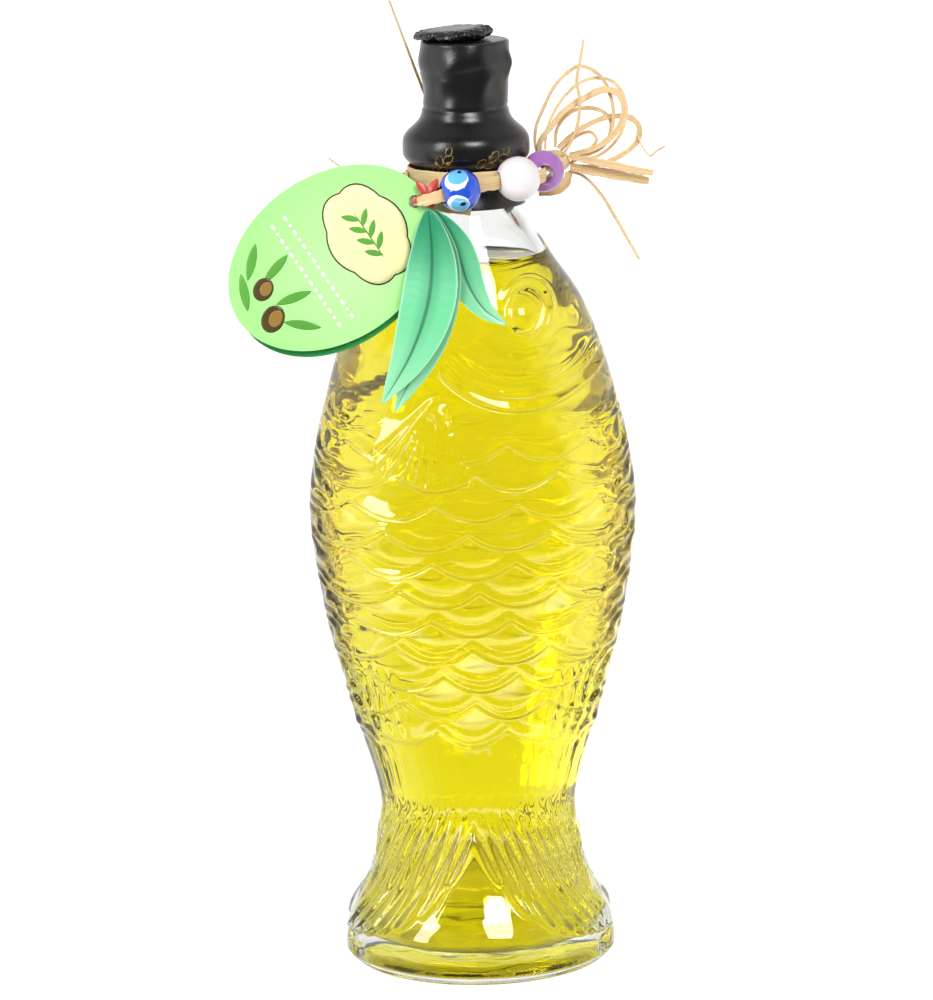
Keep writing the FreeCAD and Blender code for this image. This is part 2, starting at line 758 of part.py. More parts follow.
def make_bow_piece(name):
    places, layer, half_width, roll = bow[name]
    path = smooth_path([bow_point(x, z, layer) for x, z in places])
    turn = math.radians(roll)
    return ribbon(
        path,
        lambda t: half_width * (0.72 + 0.28 * math.sin(math.pi * t)),
        even(bow_thick / 2.0),
        toward_viewer,
        lambda t: turn * math.sin(math.pi * t),
        along=8 * len(places),
    )


wisps = {
    "wisp_c": [Vector(-4.2, 17.6, 230.8), Vector(-7.2, 17.6, 236.0), Vector(-10.4, 14.4, 245.0),
               Vector(-13.2, 10.6, 253.0), Vector(-16.6, 8.0, 263.0), Vector(-20.6, 8.0, 274.5)],
    "wisp_d": [Vector(-16.9, 2.4, 226.8), Vector(-22.0, -1.0, 226.6), Vector(-31.0, -3.0, 227.6),
               Vector(-38.3, -4.0, 232.5)],
    "wisp_e": [Vector(47.6, 3.9, 236.9), Vector(48.8, 3.4, 233.6), Vector(51.0, 1.6, 230.6),
               Vector(52.9, 1.0, 232.0), Vector(55.3, 0.0, 233.5)],
    "wisp_f": [Vector(-9.6, -14.5, 220.6), Vector(-5.4, -16.4, 219.6), Vector(1.0, -17.2, 218.6)],
}


def make_wisp(name, half_width):
    path = smooth_path([beside_neck(p) for p in wisps[name]])
    return ribbon(path, even(half_width), even(bow_thick / 2.0), off_the_neck, even(0.0), along=24)


# ---------------------------------------------------------------- charm and tags
charm_place = beside_neck(Vector(-10.2, -22.5, 224.2))


def make_charm():
    """Star with a ridge along each arm, the same in front and behind."""
    ring = []
    for i in range(2 * charm_points):
        reach = charm_reach if i % 2 == 0 else charm_core
        turn = math.pi / 2.0 + math.pi * i / charm_points + 0.12
        ring.append(charm_place + Vector(reach * math.cos(turn), 0.0, reach * math.sin(turn)))
    faces = []
    for side in (-1.0, 1.0):
        peak = charm_place + Vector(0.0, side * charm_thick / 2.0, 0.0)
        for i in range(len(ring)):
            faces.append(Part.Face(Part.makePolygon([ring[i], ring[i - 1], peak, ring[i]])))
    return closed(faces)


def make_tag(lean, behind, drop):
    """Oval card hung from its hole; lean is its long axis, in degrees from level."""
    middle = tag_length / 2.0 - tag_hole_inset
    oval = Part.Ellipse(Vector(0.0, 0.0, 0.0), tag_length / 2.0, tag_width / 2.0)
    card = Part.Face(Part.Wire([oval.toShape()])).extrude(Vector(0.0, 0.0, tag_thick))
    hole = Part.makeCylinder(tag_hole / 2.0, tag_thick * 3.0, Vector(middle, 0.0, -tag_thick))
    card = card.cut(hole)
    card.translate(Vector(-middle, 0.0, 0.0))
    card.rotate(Vector(0.0, 0.0, 0.0), Vector(0.0, 0.0, 1.0), lean)
    card.rotate(Vector(0.0, 0.0, 0.0), Vector(1.0, 0.0, 0.0), 90.0 - drop)
    card.translate(hole_place + Vector(0.0, behind, 0.0))
    return card.Solids[0]


leaves = {
    "leaf_front": ([Vector(-10.6, -24.9, 221.2), Vector(-9.9, -27.0, 207.0), Vector(-11.4, -29.6, 195.0),
                    Vector(-16.2, -31.6, 182.0), Vector(-24.2, -31.6, 168.4)], leaf_width / 2.0),
    "leaf_middle": ([Vector(-9.9, -24.1, 220.8), Vector(-7.8, -25.8, 206.6), Vector(-9.4, -28.3, 194.0),
                     Vector(-13.4, -30.2, 181.0), Vector(-20.9, -30.2, 165.8)], leaf_width * 0.42),
    "leaf_back": ([Vector(-9.2, -23.3, 220.4), Vector(-3.4, -24.4, 210.0), Vector(0.0, -26.2, 200.0),
                   Vector(4.2, -28.0, 193.4), Vector(10.0, -28.8, 189.2)], leaf_width * 0.33),
}


def make_leaf(name):
    points, half_width = leaves[name]

    def size(t):
        return 0.5 + (half_width - 0.5) * math.sin(math.pi * t ** 0.82) ** 0.85

    path = smooth_path([beside_neck(p) for p in points])
    return ribbon(path, size, even(leaf_thick / 2.0), toward_viewer, even(0.0), along=30, around=16)


# ---------------------------------------------------------------- all of it
def build():
    pieces = {
        "bottle": make_bottle(),
        "oil": make_oil(),
        "capsule": make_capsule(),
        "capsule_film": make_film(),
        "raffia_band": make_band(),
        "raffia_strand": make_bead_strand(),
        "raffia_knot": make_knot(),
        "bead_eye": make_bead(eye_place, eye_bead),
        "bead_pearl": make_bead(pearl_place, pearl_bead),
        "bead_purple": make_bead(purple_place, purple_bead),
        "charm": make_charm(),
        "tag_front": make_tag(33.3, 0.3, 8.0),
        "tag_back": make_tag(37.0, 1.7, 6.5),
    }
    for name in bow:
        pieces["raffia_" + name] = make_bow_piece(name)
    for name in wisps:
        pieces["raffia_" + name] = make_wisp(name, 1.3 if name == "wisp_f" else 0.45)
    for name in leaves:
        pieces[name] = make_leaf(name)
    return pieces


os.makedirs("parts", exist_ok=True)
for name, shape in build().items():
    shape.exportStep("parts/" + name + ".step")
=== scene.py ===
"""Fish-shaped glass bottle of oil, standing on its tail.

The glass is moulded as a fish with its head up. A black film closes the neck,
and raffia round the film carries three beads, a star, hang tags and a bow.
Lengths in the functions are millimetres; meshes are written in metres.
"""

import bpy
import numpy as np
from mathutils import Matrix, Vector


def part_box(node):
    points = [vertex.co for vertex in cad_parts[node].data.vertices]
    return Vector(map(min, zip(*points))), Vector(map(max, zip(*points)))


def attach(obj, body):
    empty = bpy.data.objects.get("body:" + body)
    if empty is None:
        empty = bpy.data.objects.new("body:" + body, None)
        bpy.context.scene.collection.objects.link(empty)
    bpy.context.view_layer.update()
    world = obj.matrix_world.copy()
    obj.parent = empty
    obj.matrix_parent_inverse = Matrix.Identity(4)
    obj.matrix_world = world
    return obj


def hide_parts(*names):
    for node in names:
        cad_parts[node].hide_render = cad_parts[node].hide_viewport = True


bl_info = {
    "name": "Fish-shaped oil bottle",
    "version": (1, 0, 0),
    "blender": (4, 5, 0),
    "location": "View3D > Sidebar > Fish bottle",
    "description": "Builds a moulded fish bottle of oil with its closure, beads, tags and raffia bow",
    "category": "Add Mesh",
}

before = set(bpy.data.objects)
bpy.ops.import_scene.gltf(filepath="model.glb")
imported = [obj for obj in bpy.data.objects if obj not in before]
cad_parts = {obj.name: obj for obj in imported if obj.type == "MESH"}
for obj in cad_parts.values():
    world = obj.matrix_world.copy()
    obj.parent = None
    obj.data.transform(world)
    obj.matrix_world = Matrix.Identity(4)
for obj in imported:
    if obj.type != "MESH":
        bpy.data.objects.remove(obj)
MM = 0.001
TAU = 2.0 * np.pi


def node_box(node):
    """Lowest and highest corner of a node, in millimetres."""
    low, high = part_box(node)
    return np.array(low) / MM, np.array(high) / MM


MOUTH = node_box("bottle")[1][2]
OIL_LEVEL = node_box("oil")[1][2]


def length(name, description, mm):
    """A length that a user can change, kept in metres."""
    return bpy.props.FloatProperty(
        name=name, description=description, default=mm * MM, unit="LENGTH", precision=5
    )


def amount(name, description, value):
    """A plain number that a user can change."""
    return bpy.props.FloatProperty(name=name, description=description, default=value)


def colour(name, description, rgb):
    """A colour that a user can change."""
    return bpy.props.FloatVectorProperty(
        name=name, description=description, default=rgb, size=3, subtype="COLOR", min=0.0, max=1.0
    )


# ------------------------------------------------------------------ settings
class GlassSettings(bpy.types.PropertyGroup):
    body_width: length("Body width", "Widest place of the fish", 92.4)
    stalk_width: length("Stalk width", "Narrowest place, above the tail", 55.4)
    flare_width: length("Flare width", "Widest place of the tail flare", 77.6)
    wall: length("Wall", "Thickness of the glass", 3.6)
    floor: length("Floor", "Height of the hollow's floor", 7.0)
    scale_pitch: length("Scale pitch", "From one row of scales to the next", 8.3)
    scale_rise: length("Scale rise", "How far a scale's lower edge lifts", 1.6)
    eye_rise: length("Eye rise", "Height of the eye's dome", 2.8)
    tint: colour("Glass tint", "Colour of the glass", (0.985, 0.995, 0.985))


class OilSettings(bpy.types.PropertyGroup):
    into_wall: length("Into the wall", "How far the oil reaches into the glass", 0.25)
    meniscus: length("Meniscus", "How far the level climbs at the wall", 0.9)
    tint: colour("Oil tint", "Colour of the oil at its faces", (0.985, 0.945, 0.05))
    depth_tint: colour("Oil depth tint", "Colour that thick oil turns to", (0.955, 0.914, 0.0))


class ClosureSettings(bpy.types.PropertyGroup):
    crumple: length("Crumple", "Depth of the creases in the film's end", 0.9)
    film: colour("Film", "Colour of the closure film", (0.006, 0.006, 0.0065))
    sprig: colour("Sprigs", "Colour of the printed sprigs", (0.62, 0.40, 0.10))


class RaffiaSettings(bpy.types.PropertyGroup):
    thick: length("Raffia thickness", "Thickness of the bow's strips", 0.5)
    light: colour("Light raffia", "Lighter fibres", (0.90, 0.70, 0.40))
    dark: colour("Dark raffia", "Darker fibres", (0.62, 0.38, 0.14))


class TrimSettings(bpy.types.PropertyGroup):
    blue: colour("Blue", "Ground of the eye bead", (0.015, 0.085, 0.62))
    sky: colour("Sky", "Light blue of the eye bead", (0.14, 0.52, 0.86))
    pearl: colour("Pearl", "Pearl bead", (0.88, 0.83, 0.85))
    purple: colour("Purple", "Purple bead", (0.42, 0.17, 0.52))
    red: colour("Red", "Star", (0.62, 0.07, 0.04))
    tag_light: colour("Light tag", "Front tag", (0.38, 0.86, 0.26))
    tag_dark: colour("Dark tag", "Back tag", (0.02, 0.28, 0.06))
    leaf_light: colour("Light leaf", "Blades of the card leaves", (0.16, 0.66, 0.32))
    leaf_dark: colour("Dark leaf", "Stem ends and midribs of the card leaves", (0.01, 0.26, 0.12))


class StageSettings(bpy.types.PropertyGroup):
    lens: amount("Lens", "Camera lens in millimetres", 156.5)
    key: amount("Key light", "Strength of the soft boxes", 14.0)
    room: amount("Room", "Light from the camera's side", 0.15)
    backdrop: amount("Backdrop", "Light from behind", 1.08)
    ceiling: amount("Ceiling", "Share of the light that is left high up", 0.45)
    wrap: amount("Wrap", "How far the light reaches round the sides", 0.7)
    strip: amount("Strip", "Strength of the strip of light before the foot", 2.5)
    glow: amount("Glow", "Light of the floor itself", 1.08)
    ground: colour("Floor", "Colour of the floor", (0.05, 0.05, 0.05))


SETTINGS = {
    "bottle_glass": GlassSettings,
    "bottle_oil": OilSettings,
    "bottle_closure": ClosureSettings,
    "bottle_raffia": RaffiaSettings,
    "bottle_trim": TrimSettings,
    "bottle_stage": StageSettings,
}


# ------------------------------------------------------------------ curves
def step_up(x, start, end):
    """0 before start, 1 after end, and 3t^2 - 2t^3 between."""
    t = np.clip((x - start) / (end - start), 0.0, 1.0)
    return t * t * (3.0 - 2.0 * t)


def smooth_curve(stations):
    """Piecewise cubic through (place, value) pairs; the slope at each is the
    harmonic mean of its neighbours' slopes, so the curve never overshoots."""
    place, value = np.array(stations, float).T
    rise = np.diff(value) / np.diff(place)
    slope = np.concatenate([rise[:1], np.zeros(len(place) - 2), rise[-1:]])
    same = rise[:-1] * rise[1:] > 0.0
    total = np.where(same, rise[:-1] + rise[1:], 1.0)
    slope[1:-1] = np.where(same, 2.0 * rise[:-1] * rise[1:] / total, 0.0)

    def at(x):
        x = np.clip(x, place[0], place[-1])
        i = np.clip(np.searchsorted(place, x) - 1, 0, len(place) - 2)
        h = place[i + 1] - place[i]
        t = (x - place[i]) / h
        a = (1.0 + 2.0 * t) * (1.0 - t) ** 2
        b = t * (1.0 - t) ** 2
        c = t * t * (3.0 - 2.0 * t)
        d = t * t * (t - 1.0)
        return a * value[i] + b * h * slope[i] + c * value[i + 1] + d * h * slope[i + 1]

    return at


def smooth_path(points):
    """Cubic through points; the slope at each is that of the chord between its
    neighbours. Takes 0..1 along its length and gives places."""
    points = np.array(points, float)
    reach = np.concatenate([[0.0], np.cumsum(np.linalg.norm(np.diff(points, axis=0), axis=1))])
    n = len(points)
    j = np.maximum(np.arange(n) - 1, 0)
    k = np.minimum(np.arange(n) + 1, n - 1)
    slope = (points[k] - points[j]) / (reach[k] - reach[j])[:, None]

    def at(t):
        s = np.clip(np.asarray(t, float), 0.0, 1.0) * reach[-1]
        i = np.clip(np.searchsorted(reach, s, side="right") - 1, 0, n - 2)
        h = (reach[i + 1] - reach[i])[..., None]
        u = ((s - reach[i]) / h[..., 0])[..., None]
        a = (1.0 + 2.0 * u) * (1.0 - u) ** 2
        b = u * (1.0 - u) ** 2
        c = u * u * (3.0 - 2.0 * u)
        d = u * u * (u - 1.0)
        return a * points[i] + b * h * slope[i] + c * points[i + 1] + d * h * slope[i + 1]

    at.length = reach[-1]
    return at


def unit(v):
    return v / np.maximum(np.linalg.norm(v, axis=-1, keepdims=True), 1e-9)


# ------------------------------------------------------------------ meshes
def ring_faces(rows, cols, first=0):
    """Quads between neighbouring rings of a grid that closes round."""
    r = np.arange(rows - 1)[:, None] * cols + first
    c = np.arange(cols)[None, :]
    d = (c + 1) % cols
    return np.stack([r + c, r + d, r + cols + d, r + cols + c], axis=-1).reshape(-1, 4)


def fan_faces(ring, pole, flip):
    """Triangles from a ring of vertices to one pole."""
    after = np.roll(ring, -1)
    other = np.full_like(ring, pole)
    pair = (after, ring, other) if flip else (ring, after, other)
    return np.stack(pair, axis=-1)


def write_mesh(name, verts, quads, tris, material, smooth=True):
    """One object at the origin from arrays in millimetres."""
    mesh = bpy.data.meshes.new(name)
    mesh.vertices.add(len(verts))
    mesh.vertices.foreach_set("co", (np.asarray(verts) * MM).astype(np.float32).ravel())
    corners = np.concatenate([quads.ravel(), tris.ravel()]).astype(np.int32)
    mesh.loops.add(len(corners))
    mesh.loops.foreach_set("vertex_index", corners)
    starts = np.concatenate([np.arange(len(quads)) * 4, len(quads) * 4 + np.arange(len(tris)) * 3])
    mesh.polygons.add(len(quads) + len(tris))
    mesh.polygons.foreach_set("loop_start", starts.astype(np.int32))
    mesh.polygons.foreach_set("use_smooth", np.full(len(starts), smooth))
    mesh.update(calc_edges=True)
    mesh.validate()
    mesh.materials.append(material)
    piece = bpy.data.objects.new(name, mesh)
    bpy.context.collection.objects.link(piece)
    return piece


def point_attribute(piece, name, values):
    """Three numbers for each vertex, for a material to read."""
    data = piece.data.attributes.new(name, "FLOAT_VECTOR", "POINT")
    data.data.foreach_set("vector", np.asarray(values, np.float32).ravel())


def tube(name, rings, material, grain=None):
    """Closed surface over rings (rows, columns, 3), each end closed by a pole at
    its ring's middle. The faces look outward where the rings turn right-handed
    about their way forward."""
    rows, cols = rings.shape[:2]
    verts = np.concatenate([rings.reshape(-1, 3), rings[0].mean(0)[None], rings[-1].mean(0)[None]])
    quads = ring_faces(rows, cols)
    last = np.arange(cols) + (rows - 1) * cols
    tris = np.concatenate([
        fan_faces(np.arange(cols), rows * cols, True),
        fan_faces(last, rows * cols + 1, False),
    ])
    piece = write_mesh(name, verts, quads, tris, material)
    if grain is not None:
        poles = [grain[0].mean(0)[None], grain[-1].mean(0)[None]]
        point_attribute(piece, "grain", np.concatenate([grain.reshape(-1, 3)] + poles))
    return piece


def joined(name, parts, material):
    """Several closed surfaces as one mesh; each part is an array of rings."""
    verts, quads, tris = [], [], []
    count = 0
    for rings in parts:
        rows, cols = rings.shape[:2]
        verts += [rings.reshape(-1, 3), rings[0].mean(0)[None], rings[-1].mean(0)[None]]
        quads.append(ring_faces(rows, cols, count))
        pole = count + rows * cols
        tris.append(fan_faces(np.arange(cols) + count, pole, True))
        tris.append(fan_faces(np.arange(cols) + pole - cols, pole + 1, False))
        count = pole + 2
    return write_mesh(name, np.concatenate(verts), np.concatenate(quads), np.concatenate(tris), material)


def ride(piece, slot, *nodes):
    """Fix a piece to the bottle and hide the nodes it stands in for; its slot is not used."""
    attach(piece, "root")
    if nodes:
        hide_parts(*nodes)


# ------------------------------------------------------------------ materials
def shader(name):
    """A material with its Principled shader."""
    material = bpy.data.materials.new(name)
    material.use_nodes = True
    return material, material.node_tree, material.node_tree.nodes["Principled BSDF"]


def add(tree, kind, settings=None, **inputs):
    """A node with its settings; inputs take numbers, colours or other sockets."""
    node = tree.nodes.new("ShaderNode" + kind)
    for key, value in (settings or {}).items():
        setattr(node, key, value)
    for key, value in inputs.items():
        socket = node.inputs[int(key[1:])] if key[0] == "_" else node.inputs[key.replace("_", " ")]
        if isinstance(value, bpy.types.NodeSocket):
            tree.links.new(value, socket)
        elif isinstance(value, (tuple, list)) and len(value) == 3 and len(socket.default_value) == 4:
            socket.default_value = (*value, 1.0)
        else:
            socket.default_value = value
    return node


def maths(tree, operation, *values):
    """Outcome of one sum on numbers or sockets."""
    inputs = {"_%d" % i: value for i, value in enumerate(values)}
    return add(tree, "Math", {"operation": operation}, **inputs).outputs[0]


def vector_maths(tree, operation, *values):
    """Outcome of one sum on places: a number or a place, as the sum gives."""
    inputs = {"_%d" % i: value for i, value in enumerate(values)}
    node = add(tree, "VectorMath", {"operation": operation}, **inputs)
    gives_number = operation in ("DISTANCE", "LENGTH", "DOT_PRODUCT")
    return node.outputs["Value" if gives_number else "Vector"]


def ramp(tree, value, start, end, low=0.0, high=1.0, smooth=False):
    """A number that goes from low to high as value goes from start to end."""
    kind = "SMOOTHSTEP" if smooth else "LINEAR"
    node = add(tree, "MapRange", {"interpolation_type": kind}, Value=value, _1=start, _2=end, _3=low, _4=high)
    return node.outputs[0]


def split_up(tree, place):
    """The three numbers of a place."""
    return add(tree, "SeparateXYZ", None, _0=place).outputs


def mixed(tree, share, a, b):
    """Colour a where share is 0, b where it is 1."""
    node = add(tree, "Mix", {"data_type": "RGBA"}, _0=share)
    for socket, value in ((node.inputs[6], a), (node.inputs[7], b)):
        if isinstance(value, bpy.types.NodeSocket):
            tree.links.new(value, socket)
        else:
            socket.default_value = (*value, 1.0)
    return node.outputs[2]


def set_values(bsdf, **values):
    for key, value in values.items():
        socket = bsdf.inputs[key.replace("_", " ")]
        socket.default_value = (*value, 1.0) if isinstance(value, (tuple, list)) else value


def group(name, inputs, output_names):
    """A shader node group with float or vector inputs and colour-free outputs."""
    tree = bpy.data.node_groups.new(name, "ShaderNodeTree")
    for key, kind, default in inputs:
        socket = tree.interface.new_socket(key, in_out="INPUT", socket_type=kind)
        if default is not None:
            socket.default_value = default
    for key, kind in output_names:
        tree.interface.new_socket(key, in_out="OUTPUT", socket_type=kind)
    return tree, tree.nodes.new("NodeGroupInput").outputs, tree.nodes.new("NodeGroupOutput").inputs


def place_group(tree, source, **inputs):
    node = tree.nodes.new("ShaderNodeGroup")
    node.node_tree = source
    for key, value in inputs.items():
        socket = node.inputs[key.replace("_", " ")]
        if isinstance(value, bpy.types.NodeSocket):
            tree.links.new(value, socket)
        else:
            socket.default_value = value
    return node.outputs


def uneven_group():
    """Slow and fine unevenness: a height for bumps and a mask for colour or gloss."""
    found = bpy.data.node_groups.get("uneven")
    if found:
        return found
    tree, start, end = group(
        "uneven",
        [
            ("Place", "NodeSocketVector", None),
            ("Coarse", "NodeSocketFloat", 60.0),
            ("Fine", "NodeSocketFloat", 600.0),
        ],
        [("Height", "NodeSocketFloat"), ("Mask", "NodeSocketFloat")],
    )
    slow = add(tree, "TexNoise", None, Vector=start["Place"], Scale=start["Coarse"], Detail=3.0)
    fine = add(tree, "TexNoise", None, Vector=start["Place"], Scale=start["Fine"], Detail=2.0)
    weak = maths(tree, "MULTIPLY", fine.outputs[0], 0.3)
    tree.links.new(maths(tree, "ADD", slow.outputs[0], weak), end["Height"])
    tree.links.new(slow.outputs[0], end["Mask"])
    return tree


def bumped(tree, bsdf, height, strength, distance):
    node = add(tree, "Bump", None, Strength=strength, Distance=distance, Height=height)
    tree.links.new(node.outputs[0], bsdf.inputs["Normal"])


def here(tree):
    return add(tree, "TexCoord").outputs["Object"]


def coated(name, rgb, rough=0.3, coarse=60.0, fine=900.0, bump=0.15, vary=0.12, **values):
    """Paint, plastic or card: a colour that varies a little, with a fine bump."""
    material, tree, bsdf = shader(name)
    uneven = place_group(tree, uneven_group(), Place=here(tree), Coarse=coarse, Fine=fine)
    darker = tuple(c * (1.0 - 2.0 * vary) for c in rgb)
    tree.links.new(mixed(tree, uneven["Mask"], darker, tuple(rgb)), bsdf.inputs["Base Color"])
    gloss = ramp(tree, uneven["Mask"], 0.0, 1.0, rough * 0.8, rough * 1.25)
    tree.links.new(gloss, bsdf.inputs["Roughness"])
    bumped(tree, bsdf, uneven["Height"], bump, 0.0004)
    set_values(bsdf, **values)
    return material


def clear(name, tint, ior, rough, shade, density=0.0, depth=None, wavy=0.0):
    """Clear glass or oil: light from the lamps passes it, tinted by shade; wavy
    is the strength of a slow unevenness of its face."""
    material, tree, bsdf = shader(name)
    if wavy:
        slow = add(tree, "TexNoise", None, Vector=here(tree), Scale=90.0, Detail=1.0)
        bumped(tree, bsdf, slow.outputs[0], wavy, 0.001)
    set_values(bsdf, Base_Color=tint, IOR=ior, Roughness=rough, Transmission_Weight=1.0)
    path = add(tree, "LightPath").outputs["Is Shadow Ray"]
    through = add(tree, "BsdfTransparent", None, Color=shade)
    blend = add(tree, "MixShader", None, _0=path, _1=bsdf.outputs[0], _2=through.outputs[0])
    out = tree.nodes["Material Output"]
    tree.links.new(blend.outputs[0], out.inputs["Surface"])
    if depth:
        soak = add(tree, "VolumeAbsorption", None, Color=depth, Density=density)
        tree.links.new(soak.outputs[0], out.inputs["Volume"])
    return material


# ------------------------------------------------------------------ the glass
EYE = (15.6, 191.5, 10.6, 13.0)             # across, up, width, height
GILL = (14.2, 194.5, 30.5, 3.6)             # across, up, radius, step between ridges
SCALES = (163.0, 66.0, 23.0, 4.6)           # first row, last row, width, sag of a tip
FIN = (-8.5, 171.0, -104.0, 60.0, 29.0, 8)  # root across and up, lean, spread, length, rays
NOTCH = (-1.5, 37.5, 30.0, 15.0)            # across, up, drop of the tail's edge, its reach
DEPTH_SHARE = smooth_curve([
    (0.0, 0.88), (12.0, 0.88), (43.0, 0.79), (133.0, 0.665), (166.0, 0.72), (192.0, 0.84), (218.8, 1.0),
])


def half_width_curve(g):
    """Half width of the glass by height: tail flare, stalk, body, head, neck and lip."""
    body, stalk, flare = (v / MM / 2.0 for v in (g.body_width, g.stalk_width, g.flare_width))
    return smooth_curve([
        (0.0, flare - 2.8), (3.2, flare), (12.0, flare - 1.6), (25.5, stalk + 2.3), (43.0, stalk),
        (74.0, 35.0), (103.5, 11.2 + body * 0.68), (133.0, body), (149.5, 12.55 + body * 0.69),
        (166.0, 40.5), (179.0, 36.7), (192.0, 31.4), (205.4, 22.6), (218.8, 15.6),
        (227.0, 14.3), (230.0, 14.5), (233.0, 16.2), (236.5, 16.2), (MOUTH, 14.0),
    ])


def eye_relief(x, z, rise):
    """Dome rise*(1-r^2)^0.7 on an oval, with a ridge round its upper right."""
    across = (x - EYE[0]) / (EYE[2] / 2.0)
    up = (z - EYE[1]) / (EYE[3] / 2.0)
    r = np.hypot(across, up)
    turn = np.degrees(np.arctan2(up, across))
    side = step_up(turn, -60.0, -20.0) * (1.0 - step_up(turn, 120.0, 160.0))
    return rise * np.maximum(0.0, 1.0 - r * r) ** 0.7 + 0.9 * side * np.exp(-(((r - 1.32) / 0.16) ** 2))


def gill_relief(x, z):
    """Nested arcs about one centre, each lifting at its outer edge, fading up."""
    r = np.hypot(x - GILL[0], z - GILL[1])
    turn = np.abs(np.degrees(np.arctan2(x - GILL[0], GILL[1] - z)))
    window = 1.0 - step_up(turn, 46.0, 60.0)
    high = np.zeros_like(r)
    for i in range(4):
        inside = (GILL[2] - GILL[3] * i - r) / GILL[3]
        lift = (1.0 - 0.2 * i) * step_up(inside, 0.0, 0.35) * (1.0 - 0.7 * np.clip(inside, 0.0, 1.0))
        high = np.maximum(high, np.where(inside > 0.0, lift, 0.0))
    calm = step_up(r, GILL[2] - GILL[3] * 5.0, GILL[2] - GILL[3] * 4.0)
    return 1.6 * window * high * calm


def scale_relief(x, z, half_width, widest, pitch, rise):
    """Rows of tiles: row k ends on z = top - k*pitch - sag*(1-(2s-1)^2), s the
    place across its tile; every second row is half a tile along, each row drifts
    a little sideways, and each tile bulges towards its middle."""
    top, bottom, wide, sag = SCALES
    wide = wide * (0.35 + 0.65 * half_width / widest)
    row = np.floor((top - z) / pitch)
    best = np.zeros_like(x)
    done = np.zeros_like(x, bool)
    for k in (row - 1, row, row + 1):
        share = x / wide + 0.5 * np.mod(k, 2) + 0.07 * np.sin(1.9 * k) + 50.0
        share = share - np.floor(share)
        hang = 1.0 - (2.0 * share - 1.0) ** 2
        above = z - (top - pitch * k - sag * hang)
        fall = 1.0 - np.clip(above / (0.8 * pitch), 0.0, 1.0)
        lift = step_up(above, 0.0, 1.7) * (0.12 + 0.98 * fall ** 1.5) * (0.6 + 0.4 * hang)
        take = (above > 0.0) & ~done
        best = np.where(take, lift, best)
        done |= take
    return rise * best * step_up(z, bottom - 6.0, bottom + 8.0) * (1.0 - step_up(z, top - 8.0, top))


def fin_relief(x, z):
    """A fan of rays, |cos| across it, inside a wedge; also its cover, 0 to 1."""
    turn = np.degrees(np.arctan2(z - FIN[1], x - FIN[0])) - FIN[2]
    r = np.hypot(x - FIN[0], z - FIN[1])
    side = 1.0 - step_up(np.abs(turn), FIN[3] / 2.0 - 4.0, FIN[3] / 2.0 + 4.0)
    ridge = np.abs(np.cos(np.pi * turn * FIN[5] / FIN[3]))
    end = FIN[4] * (0.90 + 0.10 * ridge)
    cover = side * step_up(r, 0.0, 6.0) * (1.0 - step_up(r, end - 2.5, end))
    return 1.6 * cover * (0.25 + 0.75 * ridge), cover


def side_relief(x, z, half_width):
    """Slanting, wavering ripples of the long fins on both edges, streaks low down."""
    out = np.abs(x)
    share = out / half_width
    window = step_up(share, 0.76, 0.90) * step_up(z, 62.0, 74.0) * (1.0 - step_up(z, 158.0, 170.0))
    waver = 1.3 * np.sin(0.55 * z) + 0.9 * np.sin(0.9 * out + 0.31 * z)
    wave = 0.5 + 0.5 * np.cos(TAU * (z - 1.1 * out + waver) / 4.6)
    up = (z - 79.0) / 12.0
    low = step_up(share, 0.50, 0.64) * np.maximum(0.0, 1.0 - up * up)
    streak = 0.5 + 0.5 * np.cos(TAU * (out - 0.30 * z) / 3.2)
    return 0.9 * window * wave * (0.75 + 0.25 * np.sin(0.8 * z + out)) + 0.9 * low * streak, window


def tail_relief(x, z, half_width):
    """The tail: rays |cos| of the way round less a lean with height, ending in
    lobes on an edge that drops away from its notch, and stripes on the stalk."""
    out = np.abs(x - NOTCH[0])
    round_it = 32.45 * np.arcsin(np.clip(out / half_width, 0.0, 1.0))
    ridge = np.abs(np.cos(np.pi * (round_it - 0.45 * (50.0 - z)) / 4.4))
    edge = NOTCH[1] - NOTCH[2] * (1.0 - np.exp(-out / NOTCH[3])) + 0.6 - 1.3 * ridge
    plate = step_up(z, edge - 0.3, edge + 0.9)
    rays = step_up(50.0 - z, 0.0, 14.0) * (1.0 + 1.3 * ridge)
    stripes = step_up(z, 42.0, 54.0) * (1.0 - step_up(z, 60.0, 70.0))
    return plate * rays + 0.35 * stripes * np.abs(np.cos(np.pi * 18.0 * x / half_width / 2.0))


def relief(x, z, g, width_at):
    """Height of the moulding over the plain oval body."""
    half_width = width_at(z)
    fin, fin_cover = fin_relief(x, z)
    side, side_cover = side_relief(x, z, half_width)
    scales = scale_relief(x, z, half_width, g.body_width / MM / 2.0, g.scale_pitch / MM, g.scale_rise / MM)
    scales = scales * (1.0 - fin_cover) * (1.0 - 0.8 * side_cover)
    r = np.hypot(x - GILL[0], z - GILL[1])
    scales = scales * step_up(r, GILL[2] - 1.0, GILL[2] + 1.0)
    total = eye_relief(x, z, g.eye_rise / MM) + gill_relief(x, z) + scales + fin + side
    return np.where(z > 210.0, 0.0, total + tail_relief(x, z, half_width))


def crowded_turns(count):
    """Angles round the glass, 1 - 0.3 cos as far apart, so nearest in front."""
    w = np.arange(count) * TAU / count
    return 1.5 * np.pi + w - 0.3 * np.sin(w)


